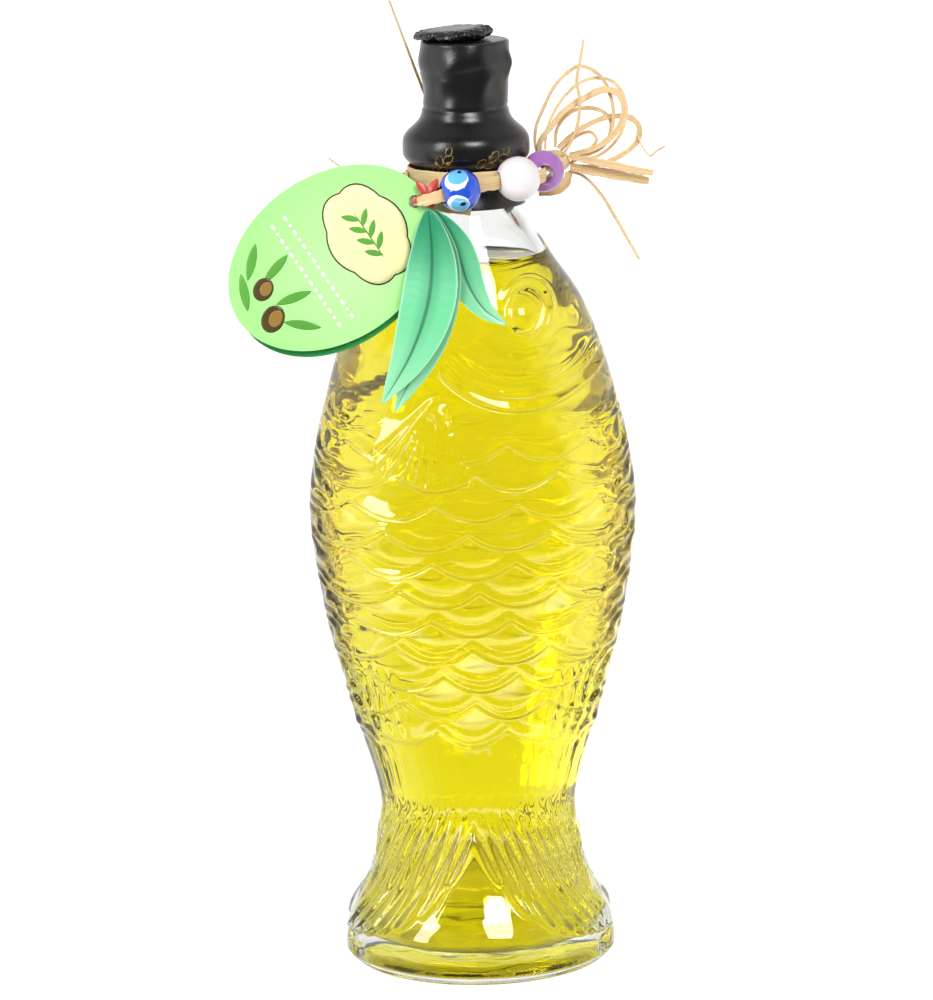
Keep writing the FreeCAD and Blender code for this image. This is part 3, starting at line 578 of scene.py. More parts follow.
def glass_outside(g, turns, heights):
    """Oval rings of half width a(z) and half depth a(z)*share(z), pushed along
    their own normal by the relief; the mould seam at the edges stays plain."""
    width_at = half_width_curve(g)
    z, turn = np.meshgrid(heights, turns, indexing="ij")
    a = width_at(z)
    b = a * DEPTH_SHARE(z)
    x, y = a * np.cos(turn), b * np.sin(turn)
    out = unit(np.stack([np.cos(turn) / a, np.sin(turn) / b, np.zeros_like(a)], -1))
    rise = relief(x, z, g, width_at) * step_up(np.abs(np.sin(turn)), 0.0, 0.30) * step_up(z, 0.6, 4.0)
    return np.stack([x, y, z], -1) + out * rise[..., None]


def hollow(g, turns, heights, gap):
    """Rings of the hollow: the glass less its wall, rounded over the floor and
    drawn in to a straight round bore; gap makes them smaller all round."""
    width_at = half_width_curve(g)
    wall, floor = g.wall / MM, g.floor / MM
    z = np.asarray(heights)
    base = width_at(np.clip(z, 30.0, 218.8)) - wall
    low = np.minimum(width_at(z), g.flare_width / MM / 2.0 - 1.6) - wall - 1.5 * step_up(30.0 - z, 0.0, 20.0)
    base = np.where(z < 30.0, low, base)
    neck = step_up(z, 208.8, 222.0)
    size = base * (1.0 - neck) + 10.0 * neck
    near = np.clip((z - floor) / 7.0, 0.0, 1.0)
    size = size - 7.0 * (1.0 - np.sqrt(np.maximum(0.0, 1.0 - (1.0 - near) ** 2)))
    a = size - gap
    blend = step_up(z, 202.8, 218.8)
    b = ((a + wall + gap) * DEPTH_SHARE(z) - wall - gap) * (1.0 - blend) + a * blend
    a, b = a[:, None], b[:, None]
    tall = np.broadcast_to(z[:, None], (len(z), len(turns)))
    return np.stack([a * np.cos(turns), b * np.sin(turns), tall], -1)


class BOTTLE_OT_glass(bpy.types.Operator):
    """Clear glass: moulded outside, smooth hollow, recess under the foot"""

    bl_idname = "bottle.glass"
    bl_label = "Glass"

    def execute(self, context):
        g = context.scene.bottle_glass
        around, inner = 216, 72
        turns, few = crowded_turns(around), crowded_turns(inner)
        heights = np.concatenate([
            np.linspace(0.0, 6.0, 10)[:-1],
            np.linspace(6.0, 206.0, 392)[:-1],
            np.linspace(206.0, MOUTH, 22),
        ])
        outside = glass_outside(g, turns, heights)
        foot = outside[0] * np.array([1.0, 1.0, 0.0])
        recess = ((0.80, 0.0), (0.77, 0.7), (0.70, 1.6), (0.3, 1.6))  # share of the foot, height
        punt = np.stack([foot * [s, s, 1.0] + [0.0, 0.0, h] for s, h in recess])
        floor = g.floor / MM
        share = np.linspace(1.0, 0.0, 76)
        inside = hollow(g, few, floor + (MOUTH - floor) * share ** 1.5, 0.0)
        outer = np.concatenate([punt[::-1], outside])
        verts = [outer.reshape(-1, 3), inside.reshape(-1, 3)]
        rows = len(outer)
        start = rows * around
        quads = np.concatenate([ring_faces(rows, around), ring_faces(len(inside), inner, start)])
        # the mouth: three outer vertices stand over each inner one
        top = (rows - 1) * around
        k = np.arange(inner)
        c = [top + (3 * k + i) % around for i in range(4)]
        d, e = start + k, start + (k + 1) % inner
        faces = ((c[0], c[1], d), (c[1], c[2], d), (c[2], e, d), (c[2], c[3], e))
        mouth = np.concatenate([np.stack(face, -1) for face in faces])
        bottom_pole, floor_pole = start + len(inside) * inner, start + len(inside) * inner + 1
        verts += [outer[0].mean(0)[None], inside[-1].mean(0)[None]]
        last = start + (len(inside) - 1) * inner + np.arange(inner)
        tris = np.concatenate([
            mouth, fan_faces(np.arange(around), bottom_pole, True), fan_faces(last, floor_pole, False),
        ])
        glass = clear("clear_glass", tuple(g.tint), 1.5, 0.0, (0.97, 0.98, 0.97), wavy=0.35)
        piece = write_mesh("fish_glass", np.concatenate(verts), quads, tris, glass)
        ride(piece, "glass", "bottle")
        return {"FINISHED"}


class BOTTLE_OT_oil(bpy.types.Operator):
    """Oil up to the shoulder, reaching just into the glass so that no air shows"""

    bl_idname = "bottle.oil"
    bl_label = "Oil"

    def execute(self, context):
        g, s = context.scene.bottle_glass, context.scene.bottle_oil
        turns = np.arange(128) * TAU / 128
        floor, level = g.floor / MM, OIL_LEVEL
        share = np.linspace(0.0, 1.0, 90) ** 1.5
        into = s.into_wall / MM
        side = hollow(g, turns, floor + (level - floor) * share, -into)
        side[..., 2] -= into * (1.0 - share)[:, None]
        # the level: flat in the middle, climbing to the wall as exp(-distance)
        rim = side[-1]
        climb = s.meniscus / MM
        shrink = np.linspace(1.0, 0.02, 24) ** 0.7
        away = (1.0 - shrink) * 22.0
        top = rim[None] * [1.0, 1.0, 0.0] * shrink[:, None, None]
        top[..., 2] = level + climb * np.exp(-away / 1.3)[:, None]
        side[..., 2] += (climb * step_up(share, 0.97, 1.0))[:, None]
        oil = clear("yellow_oil", tuple(s.tint), 1.47, 0.0, (0.95, 0.88, 0.25), 75.0, tuple(s.depth_tint))
        piece = tube("oil_fill", np.concatenate([side, top[1:]]), oil)
        ride(piece, "oil", "oil")
        return {"FINISHED"}


# ------------------------------------------------------------------ the closure
PLAIN_SLEEVE = smooth_curve([
    (218.8, 16.3), (224.0, 15.3), (229.0, 15.2), (249.0, 11.7), (259.0, 12.6), (263.6, 12.2),
])
BULGE = (234.4, 17.7, 6.2, 3.9)  # height, radius, spread above and below
SLEEVE_LOW, SLEEVE_TOP = node_box("capsule")[0][2], 263.6
FILM_MIDDLE, FILM_REACH, FILM_TALL = -3.2, 10.5, 2.3


def sleeve_radius(turn, z):
    """Profile: a straight skirt, waist and head, a swell exp(-|d|^3.5) above and
    exp(-|d|^4) below its widest place, a pinched fold on the right, slow waves."""
    away = z - BULGE[0]
    swell = np.where(away > 0.0, np.exp(-(np.abs(away / BULGE[2]) ** 3.5)), np.exp(-((away / BULGE[3]) ** 4)))
    plain = PLAIN_SLEEVE(z)
    plain = plain + (BULGE[1] - plain) * swell
    fold = np.exp(-(((z - 257.5) / 3.6) ** 2)) * np.exp(-(((turn - 5.95) / 0.15) ** 2))
    high = step_up(z, 239.5, 255.0)
    wave = 0.16 * high * (np.sin(3.0 * turn + 0.31 * z) + np.sin(5.0 * turn - 0.52 * z))
    crease = -0.28 * np.exp(-(((z - 246.0 - 0.5 * np.sin(turn)) / 0.55) ** 2))
    dent = -0.22 * np.exp(-(((z - 256.0 + 0.8 * np.sin(2.0 * turn)) / 1.3) ** 2))
    return plain + 1.3 * fold + wave + crease + dent


class BOTTLE_OT_closure(bpy.types.Operator):
    """Shrunk black film over neck and lip, its crumpled end, and gold sprigs"""

    bl_idname = "bottle.closure"
    bl_label = "Closure"

    def execute(self, context):
        s = context.scene.bottle_closure
        film = coated("black_film", tuple(s.film), rough=0.26, coarse=130.0, fine=1400.0, bump=0.25, vary=0.1,
                      Specular_IOR_Level=0.55)
        turns = np.arange(160) * TAU / 160
        z, turn = np.meshgrid(np.linspace(SLEEVE_LOW, SLEEVE_TOP, 120), turns, indexing="ij")
        r = sleeve_radius(turn, z)
        side = np.stack([r * np.cos(turn), r * np.sin(turn), z], -1)
        bend = np.linspace(0.0, 1.0, 10)[1:, None]
        r_top = r[-1] - 1.4 * (1.0 - np.cos(bend * np.pi / 2.0))
        z_top = SLEEVE_TOP + 0.7 * np.sin(bend * np.pi / 2.0) + 0.0 * turns
        shoulder = np.stack([r_top * np.cos(turns), r_top * np.sin(turns), z_top], -1)
        inner = 0.97 - 0.93 * np.linspace(0.0, 1.0, 6)[:, None, None]
        lid = shoulder[-1][None] * [1.0, 1.0, 0.0] * inner + [0.0, 0.0, SLEEVE_TOP + 0.7]
        # the cut edge turns in to the glass, and the underside closes at the middle
        edge = side[0][None] * [1.0, 1.0, 0.0] * np.array([0.2, 0.9, 0.965, 0.975])[:, None, None]
        edge[..., 2] = SLEEVE_LOW + np.array([0.3, 0.3, 0.25, 0.0])[:, None]
        piece = tube("closure_sleeve", np.concatenate([edge, side, shoulder, lid]), film)
        ride(piece, "black_film", "capsule")
        end = tube("closure_end", self.crumpled_end(s.crumple / MM), film)
        ride(end, "black_film", "capsule_film")
        self.sprigs(s)
        return {"FINISHED"}

    def crumpled_end(self, crumple):
        """A flat bun r = reach*(0.45+0.55 sin^0.6) whose rim is thrown into
        sharp waves by sums of sines of the turn, higher on the right."""
        turns = np.arange(220) * TAU / 220
        swing = np.pi * np.linspace(0.0, 1.0, 34)[:, None]
        rim = np.sin(swing)
        r = FILM_REACH * (0.45 + 0.55 * np.maximum(rim, 0.0) ** 0.6)
        ragged = sum(a * np.sin(n * turns + p) for a, n, p in (
            (1.0, 4, 0.6), (0.7, 7, 0.0), (0.5, 11, 2.0), (0.35, 19, 1.0), (0.25, 31, 0.4)))
        r = r + crumple * 0.5 * ragged * rim
        folds = np.abs(np.sin(6.5 * turns + 3.0 * swing)) + 0.6 * np.abs(np.sin(11.5 * turns - 5.0 * swing))
        z = SLEEVE_TOP + 0.75 + FILM_TALL * (1.0 - np.cos(swing)) / 2.0
        z = z + crumple * (0.35 * np.sin(5.0 * turns + 1.0) * rim ** 2 + 0.45 * (folds - 0.9) * rim)
        lift = np.maximum(0.0, r * np.cos(turns) + FILM_REACH) * np.tan(np.radians(4.5))
        z = z + lift * np.sin(swing / 2.0) ** 2
        x = FILM_MIDDLE + r * np.cos(turns)
        return np.stack([x, r * np.sin(turns) * 0.92, z], -1)

    def sprigs(self, s):
        """Two printed sprigs on the bulge: leaves in outline and small fruit."""
        gold, tree, bsdf = shader("gold_print")
        set_values(bsdf, Metallic=0.85, Roughness=0.32)
        uneven = place_group(tree, uneven_group(), Place=here(tree), Coarse=500.0, Fine=3000.0)
        worn = ramp(tree, uneven["Mask"], 0.4, 0.62)
        tint = mixed(tree, worn, tuple(c * 0.25 for c in s.sprig), tuple(s.sprig))
        tree.links.new(tint, bsdf.inputs["Base Color"])
        parts = []
        leaves = ((-3.6, 0.5, 3.3), (-1.6, -0.55, 3.2), (0.6, 0.6, 3.4), (2.6, -0.35, 3.2), (4.4, 0.35, 2.8))
        for middle, rise, lean in ((-1.98, 231.6, 0.9), (-1.12, 232.6, 0.45)):
            for along, side, size in leaves:
                parts.append(self.leaf_outline(middle, rise, lean, along, side, size))
            for along, side in ((-0.6, 1.3), (1.6, -1.3)):
                parts.append(self.fruit(middle, rise, lean, along, side))
        piece = joined("gold_sprigs", parts, gold)
        ride(piece, "black_film")

    def on_sleeve(self, middle, rise, lean, u, v, lift):
        """A place u along and v across a sprig, wrapped on the sleeve."""
        across = u * np.cos(lean) - v * np.sin(lean)
        up = u * np.sin(lean) + v * np.cos(lean)
        z = rise + up
        r = sleeve_radius(np.full_like(z, middle % TAU), z) + lift
        turn = middle + across / 16.8
        return np.stack([r * np.cos(turn), r * np.sin(turn), z], -1)

    def leaf_outline(self, middle, rise, lean, along, side, size):
        """A closed loop of thin line round a pointed oval leaf."""
        t = np.arange(40)[:, None] * TAU / 39
        ring = np.arange(6)[None, :] * TAU / 6
        u0 = size / 2.0 * np.cos(t)
        v0 = 0.30 * size * np.sin(t) * np.abs(np.sin(t)) ** 0.5
        u = u0 * (1.0 + 0.05 * np.cos(ring))
        v = v0 * (1.0 + 0.16 * np.cos(ring))
        turn = side * 0.9
        a = along + u * np.cos(turn) - v * np.sin(turn)
        b = side * 1.6 + u * np.sin(turn) + v * np.cos(turn)
        return self.on_sleeve(middle, rise, lean, a, b, 0.05 + 0.05 * np.sin(ring) + 0.0 * a)

    def fruit(self, middle, rise, lean, along, side):
        """A small domed spot."""
        t = np.linspace(0.0, 1.0, 6)[:, None]
        ring = np.arange(12)[None, :] * TAU / 12
        r = 0.6 * np.sin(np.pi * (0.08 + 0.84 * t))
        return self.on_sleeve(middle, rise, lean, along + r * np.cos(ring), side + r * np.sin(ring),
                              0.1 * np.cos(np.pi * t) * -1.0 + 0.05 + 0.0 * ring)


# ------------------------------------------------------------------ raffia
def raffia_finish(name, s, tone=0.0):
    """Dry leaf fibre: long streaks of two straw colours, matte, finely grooved."""
    material, tree, bsdf = shader(name)
    grain = add(tree, "Attribute", {"attribute_name": "grain"}).outputs["Vector"]
    stretched = vector_maths(tree, "MULTIPLY", grain, (0.05, 2.6, 2.6))
    broad = vector_maths(tree, "MULTIPLY", grain, (0.03, 0.8, 0.8))
    fine = add(tree, "TexNoise", None, Vector=stretched, Scale=1.6, Detail=4.0, Roughness=0.65)
    wide = add(tree, "TexNoise", None, Vector=broad, Scale=1.0, Detail=2.0)
    # six tenths of the fine streaks and four tenths of the broad ones
    both = maths(tree, "ADD", ramp(tree, fine.outputs[0], 0.30, 0.66, 0.0, 0.6),
                 ramp(tree, wide.outputs[0], 0.30, 0.70, 0.0, 0.4))
    light = tuple(min(1.0, c * (1.0 + tone)) for c in s.light)
    tree.links.new(mixed(tree, both, tuple(s.dark), light), bsdf.inputs["Base Color"])
    bumped(tree, bsdf, fine.outputs[0], 0.55, 0.0004)
    set_values(bsdf, Roughness=0.62, Sheen_Weight=0.25, Subsurface_Weight=0.12, Subsurface_Scale=0.002)
    return material


def strip(path, half_width, half_thick, facing, roll, rows, cup=0.18, seed=0.0, cols=20):
    """A flat fibre along a path: an oval section |cos|^0.6 by |sin|^0.6, cupped
    by the square of the place across and swaying in width along its length.
    Gives its rings and, for the material, (along, across, up) in millimetres."""
    t = np.linspace(0.0, 1.0, rows)
    middle = path(t)
    ahead = unit(np.gradient(middle, axis=0))
    face = facing(middle)
    out = unit(face - ahead * np.sum(ahead * face, -1, keepdims=True))
    side = np.cross(ahead, out)
    a = roll(t)[:, None]
    wide = side * np.cos(a) + out * np.sin(a)
    thick = out * np.cos(a) - side * np.sin(a)
    turn = np.arange(cols) * TAU / cols
    c, sn = np.cos(turn), np.sin(turn)
    along = t * path.length
    sway = 1.0 + 0.07 * np.sin(along * 0.9 + seed) + 0.05 * np.sin(along * 2.3 + 2.0 * seed)
    w = (half_width(t) * sway)[:, None]
    x = w * np.sign(c) * np.abs(c) ** 0.6
    ridge = 0.05 * np.sin(x * 7.0 + seed)
    y = half_thick * np.sign(sn) * np.abs(sn) ** 0.6 + cup * w * (x / np.maximum(w, 1e-6)) ** 2 + ridge
    rings = middle[:, None] + wide[:, None] * x[..., None] + thick[:, None] * y[..., None]
    grain = np.stack([np.broadcast_to(along[:, None] + 40.0 * seed, x.shape), x + 10.0 * seed, y], -1)
    return rings, grain


def no_roll(t):
    """A strip that isn't twisted."""
    return 0.0 * t


def toward_viewer(p):
    return np.broadcast_to(np.array([0.0, -1.0, 0.0]), p.shape)


def off_the_neck(p):
    return unit(p * [1.0, 1.0, 0.0])


KNOT = np.array([24.4, 3.0, 229.4])
STRAND = np.array([
    (21.4, -0.9, 228.8), (21.2, -3.2, 228.6), (21.2, -7.5, 228.2), (21.5, -13.6, 228.1),
    (19.4, -17.2, 228.0), (14.1, -18.0, 227.8), (6.0, -20.9, 226.9), (-1.9, -22.4, 225.6),
    (-7.5, -24.2, 224.3), (-12.2, -24.0, 223.1), (-14.3, -20.4, 222.4), (-15.8, -15.0, 223.2),
    (-16.9, -8.0, 225.3), (-16.85, -2.6, 227.0),
])
STRAND_PATH = smooth_path(STRAND)
PURPLE, PEARL, EYE_BEAD, TAG_HOLE = STRAND[2], STRAND[5], STRAND[7], STRAND[10]

# places across and up, layer front (-) to back (+), half width, roll in degrees
BOW = {
    "loop_a": ([(20.0, 231.0), (19.2, 234.6), (19.6, 239.4), (21.8, 244.7), (24.6, 250.3), (28.1, 254.0),
                (31.9, 256.1), (36.7, 254.0), (39.6, 249.8), (41.1, 242.0), (39.4, 235.0), (35.0, 231.6),
                (29.0, 230.8)], -1.0, 0.5, 14.0),
    "loop_b": ([(22.0, 232.8), (22.4, 237.4), (24.2, 242.4), (27.4, 247.3), (31.5, 251.0), (36.0, 252.4),
                (40.6, 251.6), (43.6, 248.4), (44.7, 243.3), (43.0, 236.6), (37.4, 231.0), (29.3, 229.4)],
               0.0, 0.45, 12.0),
    "loop_c": ([(20.4, 231.5), (20.6, 235.2), (23.9, 239.6), (27.4, 243.7), (32.9, 247.2), (38.4, 249.6),
                (42.6, 248.3), (44.1, 244.0), (42.4, 238.7), (36.6, 233.6), (28.9, 231.4)], -2.0, 0.95, 10.0),
    "loop_d": ([(24.8, 233.1), (25.6, 238.4), (29.4, 242.7), (34.3, 243.7), (38.4, 242.5), (40.7, 239.2),
                (38.4, 233.4), (28.8, 228.4)], 2.0, 0.55, 12.0),
    "loop_e": ([(25.6, 233.0), (30.1, 236.9), (35.7, 240.0), (40.5, 241.4), (45.9, 240.9), (48.4, 238.0),
                (47.2, 233.6), (41.0, 229.4), (34.0, 227.6), (29.0, 228.0)], 1.0, 0.75, 14.0),
    "loop_f": ([(26.4, 231.9), (30.8, 235.7), (34.8, 236.8), (36.4, 234.4), (33.4, 231.4), (28.4, 229.9)],
               3.0, 0.45, 16.0),
    "tail_a": ([(28.4, 231.2), (32.0, 230.4), (39.4, 228.9), (45.4, 227.5), (51.8, 226.4)], -3.0, 1.1, 8.0),
    "tail_b": ([(28.9, 227.8), (33.6, 227.0), (40.9, 225.6), (50.8, 223.6)], -1.0, 1.4, 8.0),
    "tail_c": ([(28.6, 226.2), (27.6, 223.4), (24.4, 221.2), (20.0, 220.8)], -0.2, 1.4, 8.0),
    "wisp_a": ([(28.4, 226.3), (32.4, 225.0), (37.2, 220.0), (41.4, 213.0), (48.0, 201.0)], 1.0, 0.45, 0.0),
    "wisp_b": ([(26.8, 231.6), (29.6, 236.2), (31.2, 241.2), (31.6, 247.3), (30.9, 252.5), (31.8, 258.0),
                (32.9, 264.2)], -3.8, 0.45, 0.0),
}
WISPS = {
    "wisp_c": ([(-4.2, 17.6, 230.8), (-7.2, 17.6, 236.0), (-10.4, 14.4, 245.0), (-13.2, 10.6, 253.0),
                (-16.6, 8.0, 263.0), (-20.6, 8.0, 274.5)], 0.6),
    "wisp_d": ([(-16.9, 2.4, 226.8), (-22.0, -1.0, 226.6), (-31.0, -3.0, 227.6), (-38.3, -4.0, 232.5)], 0.4),
    "wisp_e": ([(47.6, 3.9, 236.9), (48.8, 3.4, 233.6), (51.0, 1.6, 230.6), (52.9, 1.0, 232.0),
                (55.3, 0.0, 233.5)], 0.3),
    "wisp_f": ([(-9.6, -14.5, 220.6), (-5.4, -16.4, 219.6), (1.0, -17.2, 218.6)], 1.3),
}


class BOTTLE_OT_raffia(bpy.types.Operator):
    """Raffia: the turn on the sleeve, the bead strand, the knot, bow and wisps"""

    bl_idname = "bottle.raffia"
    bl_label = "Raffia"

    def execute(self, context):
        s = context.scene.bottle_raffia
        half = s.thick / MM / 2.0
        straw = raffia_finish("raffia_straw", s)
        pale = raffia_finish("raffia_pale", s, 0.1)

        rings, grain = self.band()
        piece = tube("raffia_turn", rings, straw, grain)
        ride(piece, "raffia", "raffia_band")

        near = np.linspace(0.0, 1.0, 601)
        hole = near[np.argmin(np.linalg.norm(STRAND_PATH(near) - TAG_HOLE, axis=1))]
        pinch = lambda t: 1.9 - 0.8 * np.exp(-(((t - hole) / 0.085) ** 2))
        rings, grain = strip(STRAND_PATH, pinch, 0.42, off_the_neck, no_roll, 180, cup=-0.05, seed=1.0,
                             cols=28)
        piece = tube("raffia_strand_fibre", rings, straw, grain)
        ride(piece, "raffia", "raffia_strand")

        rings, grain = self.knot()
        piece = tube("raffia_knot_fibre", rings, straw, grain)
        ride(piece, "raffia", "raffia_knot")

        for i, (name, (places, layer, width, roll)) in enumerate(BOW.items()):
            x, z = np.array(places).T
            away = np.hypot(x - KNOT[0], z - KNOT[2])
            path = smooth_path(np.stack([x, KNOT[1] + layer * (0.85 + 0.035 * away), z], -1))
            lean = np.radians(roll)
            sway = lambda t, w=width: w * (0.72 + 0.28 * np.sin(np.pi * t))
            turn = lambda t, lean=lean: lean * np.sin(np.pi * t)
            rings, grain = strip(path, sway, half, toward_viewer, turn, 24 * len(places), seed=2.0 + i)
            piece = tube("raffia_" + name + "_fibre", rings, pale if i % 2 else straw, grain)
            ride(piece, "raffia", "raffia_" + name)

        for i, (name, (places, width)) in enumerate(WISPS.items()):
            path = smooth_path(places)
            taper = lambda t, w=width: w * (1.0 - 0.35 * t)
            rings, grain = strip(path, taper, half * 0.8, off_the_neck, no_roll, 90, seed=20.0 + i, cols=14)
            piece = tube("raffia_" + name + "_fibre", rings, pale, grain)
            ride(piece, "raffia", "raffia_" + name)
        return {"FINISHED"}

    def band(self):
        """A flat turn round the sleeve: its section is the strip's, its edges
        waver by sines of the turn, and its two ends lie inside each other."""
        low, high = node_box("raffia_band")
        middle, tall = (low[2] + high[2]) / 2.0, (high[2] - low[2]) / 2.0
        t = np.linspace(0.0, 1.0, 260)
        angle = np.pi / 2.0 + TAU * t
        turn = np.arange(30) * TAU / 30
        c, sn = np.cos(turn), np.sin(turn)
        w = (tall * (0.97 + 0.03 * np.sin(5.0 * angle) + 0.02 * np.sin(13.0 * angle)))[:, None]
        x = w * np.sign(c) * np.abs(c) ** 0.6
        folds = 0.12 * np.sin(x * 3.1 + np.sin(angle * 2.0)[:, None]) + 0.05 * np.sin(x * 9.0)
        y = 0.4 * np.sign(sn) * np.abs(sn) ** 0.6 + folds
        r = 16.15 + y
        z = middle - x
        rings = np.stack([r * np.cos(angle)[:, None], r * np.sin(angle)[:, None], z], -1)
        grain = np.stack([np.broadcast_to((angle * 16.0)[:, None], x.shape), x, y], -1)
        return rings, grain

    def knot(self):
        """A wrapped lump: an ellipsoid whose surface rises in slanting rolls."""
        t = np.linspace(0.02, 0.98, 60)[:, None]
        turn = -np.arange(64)[None, :] * TAU / 64
        size = np.sin(np.pi * t)
        rolls = 0.13 * np.abs(np.sin(2.0 * turn + 7.0 * t)) + 0.03 * np.sin(9.0 * turn + 20.0 * t)
        roll = 1.0 + rolls * size
        p = np.stack([4.2 * size * roll * np.cos(turn), 4.2 * size * roll * np.sin(turn),
                      3.1 * np.cos(np.pi * t) + 0.0 * turn], -1)
        grain = np.stack([8.0 * (turn + 3.0 * t), 9.0 * t + 1.5 * turn, 0.0 * turn * t], -1)
        return KNOT + p, grain


# ------------------------------------------------------------------ beads
def bead_axis(place):
    near = np.linspace(0.0, 1.0, 601)
    t = near[np.argmin(np.linalg.norm(STRAND_PATH(near) - place, axis=1))]
    return unit(STRAND_PATH(t + 0.01) - STRAND_PATH(t - 0.01))


def bead_rings(place, size, hole=2.5, lip=0.35):
    """A ball with a bore along the strand: the profile runs out over the ball,
    over a rounded lip of radius lip, and back through the bore."""
    r = size / 2.0
    start = np.arcsin((hole + lip) / r)
    polar = np.linspace(start, np.pi - start, 72)
    ball = np.stack([r * np.sin(polar), r * np.cos(polar)], -1)
    drop = r * np.cos(start)
    bend = np.linspace(0.0, np.pi / 2.0 + 0.35, 9)[1:]
    low = np.stack([hole + lip - lip * np.sin(bend), -drop + lip * (1.0 - np.cos(bend))], -1)
    bore = np.stack([np.full(12, hole), np.linspace(-drop + 1.3 * lip, drop - 1.3 * lip, 12)], -1)
    high = low[::-1] * [1.0, -1.0]
    profile = np.concatenate([ball, low, bore[1:-1], high])
    axis = bead_axis(place)
    side = unit(np.cross(axis, [0.0, 0.0, 1.0]))
    up = np.cross(side, axis)
    turn = -np.arange(96) * TAU / 96
    radial = side[None] * np.cos(turn)[:, None] + up[None] * np.sin(turn)[:, None]
    return place + profile[:, :1, None] * radial[None] + profile[:, 1:, None] * axis


def ring_piece(name, rings, material):
    """A surface closed both round and along, such as a bored bead."""
    rows, cols = rings.shape[:2]
    quads = ring_faces(rows + 1, cols) % (rows * cols)
    return write_mesh(name, rings.reshape(-1, 3), quads, np.zeros((0, 3), int), material)


class BOTTLE_OT_beads(bpy.types.Operator):
    """Eye bead, pearl bead, purple bead and the red star behind the strand"""

    bl_idname = "bottle.beads"
    bl_label = "Beads and star"

    def execute(self, context):
        s = context.scene.bottle_trim
        pearl = coated("pearl_paint", tuple(s.pearl), rough=0.22, bump=0.05, vary=0.03, Coat_Weight=0.5,
                       Coat_Roughness=0.1, Subsurface_Weight=0.2, Subsurface_Scale=0.003, Sheen_Weight=0.3)
        purple = coated("purple_paint", tuple(s.purple), rough=0.28, bump=0.08, vary=0.06, Coat_Weight=0.3)
        for name, rings, material, slot, node in (
            ("eye_bead", bead_rings(EYE_BEAD, 11.7), self.eye_paint(s), "blue_bead", "bead_eye"),
            ("pearl_bead", bead_rings(PEARL, 12.3), pearl, "pearl_bead", "bead_pearl"),
            ("purple_bead", bead_rings(PURPLE, 11.6), purple, "purple_bead", "bead_purple"),
        ):
            ride(ring_piece(name, rings, material), slot, node)
        red = coated("red_star", tuple(s.red), rough=0.38, coarse=200.0, fine=1500.0, bump=0.3, vary=0.18,
                     Coat_Weight=0.2)
        piece = tube("red_star_charm", self.star(), red)
        ride(piece, "red_charm", "charm")
        return {"FINISHED"}

    def eye_paint(self, s):
        """Blue glaze with two painted eyes, each drawn as spots on the ball."""
        material, tree, bsdf = shader("eye_paint")
        place = here(tree)
        tint = tuple(s.blue)
        white, sky, pupil = (0.92, 0.94, 0.96), tuple(s.sky), (0.005, 0.012, 0.05)
        for aim, reach, shade in (
            ((-0.10, -0.80, -0.60), 3.15, white),
            ((-0.02, -0.80, -0.62), 2.45, sky),
            ((0.14, -0.84, -0.52), 0.72, pupil),
            ((-0.20, -0.72, 0.68), 3.35, white),
            ((-0.12, -0.60, 0.79), 2.75, sky),
            ((-0.02, -0.38, 0.93), 0.7, pupil),
        ):
            spot = EYE_BEAD + unit(np.array(aim)) * 5.6
            far = vector_maths(tree, "DISTANCE", place, tuple(spot * MM))
            wobble = add(tree, "TexNoise", None, Vector=place, Scale=500.0, Detail=1.0).outputs[0]
            far = maths(tree, "ADD", far, maths(tree, "MULTIPLY", wobble, 0.0005))
            inside = ramp(tree, far, (reach + 0.32) * MM, (reach + 0.20) * MM)
            tint = mixed(tree, inside, tint, shade)
        tree.links.new(tint, bsdf.inputs["Base Color"])
        uneven = place_group(tree, uneven_group(), Place=place, Coarse=150.0, Fine=900.0)
        bumped(tree, bsdf, uneven["Height"], 0.08, 0.0003)
        set_values(bsdf, Roughness=0.12, Coat_Weight=0.6, Coat_Roughness=0.05)
        return material

    def star(self):
        """Five ridged arms: the reach follows a sawtooth of the turn and the
        surface falls from a middle peak to a thin edge, front and back."""
        low, high = node_box("charm")
        middle = (low + high) / 2.0
        cols = 100
        turn = np.arange(cols) * TAU / cols
        wave = np.abs(((turn * 5.0 / TAU) % 1.0) * 2.0 - 1.0)
        reach = 2.2 + 3.0 * wave ** 1.25
        share = np.linspace(0.02, 1.0, 22)[:, None]
        tall = 0.95 * (1.0 - share) * (0.55 + 0.45 * wave) + 0.16
        angle = turn + 1.5 * np.pi + 0.12
        x = share * reach * np.cos(angle)
        z = share * reach * np.sin(angle)
        front = np.stack([x, -tall, z], -1)
        back = np.stack([x, tall, z], -1)[::-1]
        return np.concatenate([front, back])[::-1] + middle


# ------------------------------------------------------------------ tags
TAGS = {"tag_front": (33.3, 0.3, 8.0), "tag_back": (37.0, 1.7, 6.5)}  # lean, behind, tip forward
TAG_LONG, TAG_THICK, TAG_INSET = 62.0, 0.6, 3.6

# places from the stem to the tip, half width, share of the light leaf's colour
LEAVES = {
    "leaf_front": ([(-10.6, -24.9, 221.2), (-9.9, -27.0, 207.0), (-11.4, -29.6, 195.0), (-16.2, -31.6, 182.0),
                    (-24.2, -31.6, 168.4)], 7.5, 1.0),
    "leaf_middle": ([(-9.9, -24.1, 220.8), (-7.8, -25.8, 206.6), (-9.4, -28.3, 194.0), (-13.4, -30.2, 181.0),
                     (-20.9, -30.2, 165.8)], 6.3, 0.7),
    "leaf_back": ([(-9.2, -23.3, 220.4), (-3.4, -24.4, 210.0), (0.0, -26.2, 200.0), (4.2, -28.0, 193.4),
                   (10.0, -28.8, 189.2)], 4.95, 0.8),
}


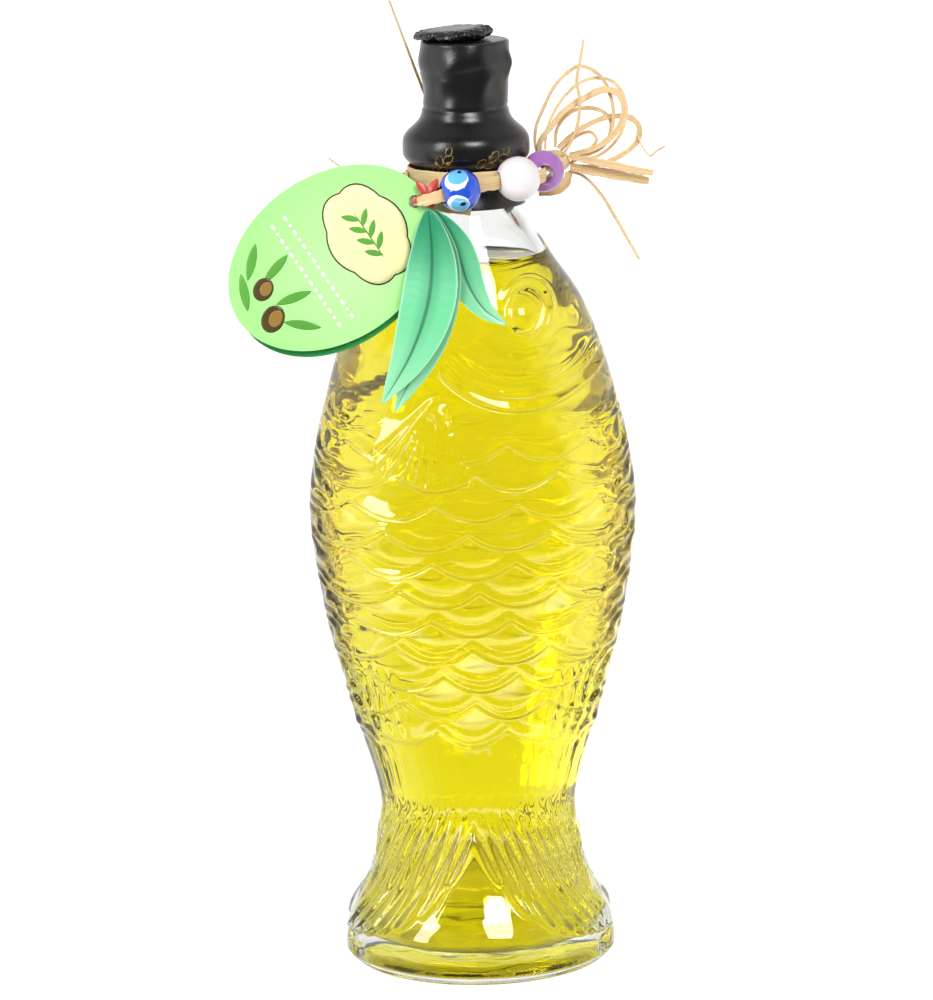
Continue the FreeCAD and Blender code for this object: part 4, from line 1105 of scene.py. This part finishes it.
def on_tag(tag, u, v, lift):
    """A place u from the middle towards the hole and v across the card."""
    lean, behind, tip = TAGS[tag]
    lean, tilt = np.radians(lean), np.radians(90.0 - tip)
    u = u - (TAG_LONG / 2.0 - TAG_INSET)
    x = u * np.cos(lean) - v * np.sin(lean)
    y = u * np.sin(lean) + v * np.cos(lean)
    h = TAG_THICK + lift
    forward = y * np.cos(tilt) - h * np.sin(tilt)
    up = y * np.sin(tilt) + h * np.cos(tilt)
    return np.stack([x, forward, up], -1) + TAG_HOLE + [0.0, behind, 0.0]


def pad(tag, middle, turn, outline, thick=0.05, base=0.01, rows=8, cols=72):
    """A printed patch: a thin closed lens whose reach by angle is outline(a)."""
    a = np.arange(cols) * TAU / cols
    share = np.concatenate([np.linspace(0.02, 1.0, rows), [1.0, 0.4]])[:, None]
    lift = np.concatenate([np.full(rows, base + thick), [base, base]])[:, None]
    reach_u, reach_v = outline(a)
    u = share * reach_u * np.cos(turn) - share * reach_v * np.sin(turn) + middle[0]
    v = share * reach_u * np.sin(turn) + share * reach_v * np.cos(turn) + middle[1]
    return on_tag(tag, u, v, lift)[::-1]


def oval(long, wide, point=1.0):
    """Outline long by wide; point above 1 sharpens both ends."""
    return lambda a: (long * np.cos(a), wide * np.sin(a) * np.abs(np.sin(a)) ** (point - 1.0))


def cloud(long, wide, lobes, depth):
    """Oval outline scalloped by |cos|."""
    return lambda a: (
        long * np.cos(a) * (1.0 + depth * np.abs(np.cos(lobes * a / 2.0))),
        wide * np.sin(a) * (1.0 + depth * np.abs(np.cos(lobes * a / 2.0))),
    )


class BOTTLE_OT_tags(bpy.types.Operator):
    """Two oval hang tags with a plain plaque and olives, and three card leaves"""

    bl_idname = "bottle.tags"
    bl_label = "Tags and leaves"

    def execute(self, context):
        s = context.scene.bottle_trim
        self.card("tag_front", tuple(s.tag_light), (0.53, 0.95, 0.38))
        self.card("tag_back", tuple(s.tag_dark), (0.04, 0.40, 0.10))
        self.print_on("tag_front")
        for node, (points, half_width, share) in LEAVES.items():
            self.leaf(node, points, half_width, tuple(c * share for c in s.leaf_light), tuple(s.leaf_dark))
        return {"FINISHED"}

    def card(self, tag, edge, middle):
        """Card whose colour lightens towards a spot beside its middle."""
        material, tree, bsdf = shader(tag + "_card")
        place = here(tree)
        far = vector_maths(tree, "DISTANCE", place, tuple(on_tag(tag, 4.0, -6.0, 0.0) * MM))
        tree.links.new(mixed(tree, ramp(tree, far, 0.0, 0.030), middle, edge), bsdf.inputs["Base Color"])
        uneven = place_group(tree, uneven_group(), Place=place, Coarse=80.0, Fine=1600.0)
        bumped(tree, bsdf, uneven["Height"], 0.12, 0.0003)
        set_values(bsdf, Roughness=0.32, Coat_Weight=0.25, Coat_Roughness=0.2)
        bpy.data.objects[tag].data.materials.clear()
        bpy.data.objects[tag].data.materials.append(material)

    def print_on(self, tag):
        """Cream plaque in a dark line with a sprig, two olives with their leaves,
        and two rows of dots."""
        cream = coated("plaque_cream", (0.95, 0.88, 0.45), rough=0.35, bump=0.05, vary=0.03)
        ink = coated("plaque_ink", (0.035, 0.05, 0.02), rough=0.4, bump=0.05, vary=0.05)
        leaf = coated("print_leaf", (0.12, 0.42, 0.05), rough=0.35, bump=0.05, vary=0.15)
        olive = coated("print_olive", (0.10, 0.06, 0.015), rough=0.3, bump=0.05, vary=0.2)
        shine = coated("print_shine", (0.34, 0.20, 0.04), rough=0.3, bump=0.05, vary=0.1)
        white = coated("print_white", (0.93, 0.98, 0.90), rough=0.35, bump=0.05, vary=0.02)
        place = (11.5, 0.0)
        parts = {
            "plaque_edge": ([pad(tag, place, 0.0, cloud(10.3, 13.7, 6, 0.10), 0.05)], ink, "tag_light"),
            "plaque": ([pad(tag, place, 0.0, cloud(9.9, 13.3, 6, 0.10), 0.10)], cream, "tag_light"),
        }
        sprig = []
        for k in range(7):
            turn = np.pi / 2.0 + 0.8 * (-1) ** k
            base = (11.8 + 2.3 * np.cos(turn), 1.9 * (k - 3.6) + 2.3 * np.sin(turn))
            sprig.append(pad(tag, base, turn, oval(2.6, 0.85, 1.6), 0.15, rows=5, cols=30))
        sprig.append(pad(tag, (11.8, -0.4), 1.57, oval(7.6, 0.2), 0.14, rows=4, cols=30))
        parts["plaque_sprig"] = (sprig, leaf, "tag_light")
        fruit = [(-23.0, -4.6, 3.9, 3.1), (-20.6, 3.6, 3.3, 2.7)]
        round_ones = [pad(tag, (u, v), 0.5, oval(a, b), 0.10) for u, v, a, b in fruit]
        lighter = [pad(tag, (u + 0.7, v - 0.3), 0.5, oval(a * 0.62, b * 0.58), 0.14) for u, v, a, b in fruit]
        parts["print_olives"] = (round_ones, olive, "tag_light")
        parts["print_shine"] = (lighter, shine, "tag_light")
        leaves = [(-17.2, -10.5, 2.4), (-15.0, -3.0, 2.9), (-14.6, 6.4, 3.4), (-25.4, 5.8, 4.3),
                  (-19.0, 11.6, 3.9)]
        parts["print_leaves"] = ([pad(tag, (u, v), turn, oval(5.2, 1.25, 1.7), 0.08, rows=5, cols=40)
                                  for u, v, turn in leaves], leaf, "tag_light")
        dots = []
        for row in (0, 1):
            for k in range(-7, 8):
                place = (-4.6 - 4.2 * row, 2.3 * k)
                dots.append(pad(tag, place, 0.0, oval(0.5, 0.85 if k % 2 else 0.5), 0.06, rows=3, cols=16))
        parts["print_dots"] = (dots, white, "tag_light")
        for name, (rings, material, slot) in parts.items():
            ride(joined(name, rings, material), slot)

    def leaf(self, node, points, half_width, light, dark):
        """A pointed leaf sin(pi t^0.82)^0.9 wide, creased down its middle, its
        sides curling forward with the square of the place across."""
        path = smooth_path(points)
        t = np.linspace(0.0, 1.0, 90)
        middle = path(t)
        ahead = unit(np.gradient(middle, axis=0))
        out = unit(toward_viewer(middle) - ahead * np.sum(ahead * toward_viewer(middle), -1, keepdims=True))
        side = np.cross(ahead, out)
        w = (0.25 + (half_width - 0.25) * np.maximum(np.sin(np.pi * t ** 0.82), 0.0) ** 0.9)[:, None]
        cols = 36
        turn = np.arange(cols) * TAU / cols
        x = np.cos(turn) * np.abs(np.cos(turn)) ** -0.1
        share = x[None]
        crease = 0.5 * np.exp(-((share * w / 0.55) ** 2)) - 0.02 * w * share ** 2
        veins = 0.05 * np.abs(np.sin(8.0 * share * w * 0.4 + t[:, None] * path.length * 1.1))
        y = 0.16 * np.sin(turn)[None] - crease * 0.6 + veins
        rings = middle[:, None] + side[:, None] * (share * w)[..., None] + out[:, None] * y[..., None]
        grain = np.stack([np.broadcast_to(t[:, None], y.shape), np.broadcast_to(share, y.shape), y], -1)
        material, tree, bsdf = shader(node + "_card")
        # dark at the stem, pale at the tip, a painted sheen as a pale strip along the rim, a soft band and a
        # line along the middle
        grain_place = add(tree, "Attribute", {"attribute_name": "grain"}).outputs["Vector"]
        along, sideways, _ = split_up(tree, grain_place)
        across = maths(tree, "ABSOLUTE", sideways)
        base = mixed(tree, ramp(tree, along, 0.0, 0.5, smooth=True), dark, light)
        base = mixed(tree, ramp(tree, along, 0.55, 1.0, 0.0, 0.75), base, (0.42, 0.86, 0.52))
        band = ramp(tree, across, 0.0, 0.55, 0.75, 0.0, smooth=True)
        base = mixed(tree, maths(tree, "MULTIPLY", band, maths(tree, "SUBTRACT", 1.0, along)), base, dark)
        # painted sheen: the rim of the leaf turns pale
        base = mixed(tree, ramp(tree, across, 0.9, 1.0, 0.0, 0.6), base, (0.6, 0.92, 0.66))
        base = mixed(tree, ramp(tree, across, 0.02, 0.10, 0.75, 0.0), base, tuple(c * 0.35 for c in dark))
        tree.links.new(base, bsdf.inputs["Base Color"])
        uneven = place_group(tree, uneven_group(), Place=here(tree), Coarse=120.0, Fine=1500.0)
        bumped(tree, bsdf, uneven["Height"], 0.12, 0.0003)
        set_values(bsdf, Roughness=0.34, Coat_Weight=0.3, Coat_Roughness=0.15)
        piece = tube(node + "_shaped", rings, material, grain)
        ride(piece, "leaf_light" if node == "leaf_front" else "leaf_dark", node)


# ------------------------------------------------------------------ the stage
STRIP_AHEAD, STRIP_HALF, STRIP_REACH = 0.18, 0.02, 0.05  # metres: before the foot, full, faded
LAMP_AWAY = 1.5
EYE_PLACE, AIM_PLACE, CAMERA_ROLL = (0.0, -1.2, 0.408), (-0.00175, 0.0, 0.1336), 1.08


class BOTTLE_OT_stage(bpy.types.Operator):
    """Pale floor, soft boxes and the camera"""

    bl_idname = "bottle.stage"
    bl_label = "Stage"

    def execute(self, context):
        s = context.scene.bottle_stage
        floor_paint, tree, bsdf = shader("pale_floor")
        ground = tuple(s.ground)
        set_values(bsdf, Base_Color=ground, Roughness=0.7, Emission_Strength=s.glow)
        # seen directly the floor is white; otherwise it lights from behind and beside the foot,
        # and from a strip before it that picks out the undersides of the scales
        across, along, _ = split_up(tree, here(tree))
        fade = ramp(tree, self.wrapped(tree, across, along, s.wrap), -0.06, 0.11, smooth=True)
        away = maths(tree, "ABSOLUTE", maths(tree, "ADD", along, STRIP_AHEAD))
        strip_light = ramp(tree, away, STRIP_HALF, STRIP_REACH, s.strip, 0.0, smooth=True)
        camera = add(tree, "LightPath").outputs["Is Camera Ray"]
        lit = maths(tree, "MAXIMUM", fade, strip_light)
        hidden = maths(tree, "MULTIPLY", lit, maths(tree, "SUBTRACT", 1.0, camera))
        seen = maths(tree, "ADD", camera, hidden)
        tree.links.new(seen, bsdf.inputs["Emission Color"])
        corners = np.array([(-1.0, -1.0), (1.0, -1.0), (1.0, 1.0), (-1.0, 1.0)]) * 4.0 / MM
        floor = write_mesh("floor", np.insert(corners, 2, 0.0, axis=1), np.array([[0, 1, 2, 3]]),
                           np.zeros((0, 3), int), floor_paint)

        world = bpy.data.worlds.new("studio")
        world.use_nodes = True
        tree = world.node_tree
        across, along, up = split_up(tree, add(tree, "TexCoord").outputs["Generated"])
        place = self.wrapped(tree, across, along, s.wrap)
        back = ramp(tree, place, -0.35, 0.35, s.room, s.backdrop, smooth=True)
        above = ramp(tree, up, 0.05, 0.6, 1.0, s.ceiling, smooth=True)
        strength = maths(tree, "MULTIPLY", back, above)
        tree.links.new(strength, tree.nodes["Background"].inputs["Strength"])
        tree.nodes["Background"].inputs["Color"].default_value = (1.0, 1.0, 1.0, 1.0)
        context.scene.world = world
        context.scene.view_settings.view_transform = "Standard"

        middle = np.array([0.0, 0.0, MOUTH * MM / 2.0])
        for name, azimuth, climb, wide, tall, power in (
            ("left_box", -48.0, 22.0, 0.34, 1.0, 0.9), ("right_box", 16.0, 36.0, 0.55, 0.6, 1.1),
        ):
            angle, up = np.radians(azimuth), np.radians(climb)
            aim = np.array([np.sin(angle) * np.cos(up), -np.cos(angle) * np.cos(up), np.sin(up)])
            lamp = bpy.data.lights.new(name, "AREA")
            lamp.shape, lamp.size, lamp.size_y, lamp.energy = "RECTANGLE", wide, tall, s.key * power
            box = bpy.data.objects.new(name, lamp)
            box.matrix_world = look_along(middle + aim * LAMP_AWAY, -aim, 0.0)
            context.collection.objects.link(box)

        eye, mark = np.array(EYE_PLACE), np.array(AIM_PLACE)
        lens = bpy.data.cameras.new("camera")
        lens.lens, lens.sensor_width, lens.clip_end = s.lens, 36.0, 20.0
        camera = bpy.data.objects.new("camera", lens)
        camera.matrix_world = look_along(eye, unit(mark - eye), np.radians(CAMERA_ROLL))
        context.collection.objects.link(camera)
        context.scene.camera = camera
        return {"FINISHED"}

    def wrapped(self, tree, across, along, share):
        """How far back a place lies, with its distance to the side counted in part."""
        beside = maths(tree, "MULTIPLY", maths(tree, "ABSOLUTE", across), share)
        return maths(tree, "ADD", along, beside)


def look_along(place, ahead, roll):
    """Matrix that puts an object at a place with its -Z ahead and +Y up."""
    side = unit(np.cross(ahead, [0.0, 0.0, 1.0]))
    up = np.cross(side, ahead)
    right = side * np.cos(roll) - up * np.sin(roll)
    top = side * np.sin(roll) + up * np.cos(roll)
    rows = np.eye(4)
    rows[:3, 0], rows[:3, 1], rows[:3, 2], rows[:3, 3] = right, top, -ahead, place
    return Matrix(rows.tolist())


# ------------------------------------------------------------------ the panel
STEPS = (BOTTLE_OT_glass, BOTTLE_OT_oil, BOTTLE_OT_closure, BOTTLE_OT_raffia, BOTTLE_OT_beads, BOTTLE_OT_tags,
         BOTTLE_OT_stage)


class BOTTLE_PT_panel(bpy.types.Panel):
    """Sizes, colours and one button for each group of pieces"""

    bl_idname = "BOTTLE_PT_panel"
    bl_label = "Fish bottle"
    bl_space_type = "VIEW_3D"
    bl_region_type = "UI"
    bl_category = "Fish bottle"

    def draw(self, context):
        for name, kind in SETTINGS.items():
            column = self.layout.column(align=True)
            for key in kind.__annotations__:
                column.prop(getattr(context.scene, name), key)
        for step in STEPS:
            self.layout.operator(step.bl_idname)


def register():
    for name, kind in SETTINGS.items():
        bpy.utils.register_class(kind)
        setattr(bpy.types.Scene, name, bpy.props.PointerProperty(type=kind))
    for step in STEPS:
        bpy.utils.register_class(step)
    bpy.utils.register_class(BOTTLE_PT_panel)


def unregister():
    bpy.utils.unregister_class(BOTTLE_PT_panel)
    for step in reversed(STEPS):
        bpy.utils.unregister_class(step)
    for name, kind in SETTINGS.items():
        delattr(bpy.types.Scene, name)
        bpy.utils.unregister_class(kind)


def main():
    register()
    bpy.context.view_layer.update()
    for step in STEPS:
        kind, name = step.bl_idname.split(".")
        getattr(getattr(bpy.ops, kind), name)()


if __name__ == "__main__":
    main()
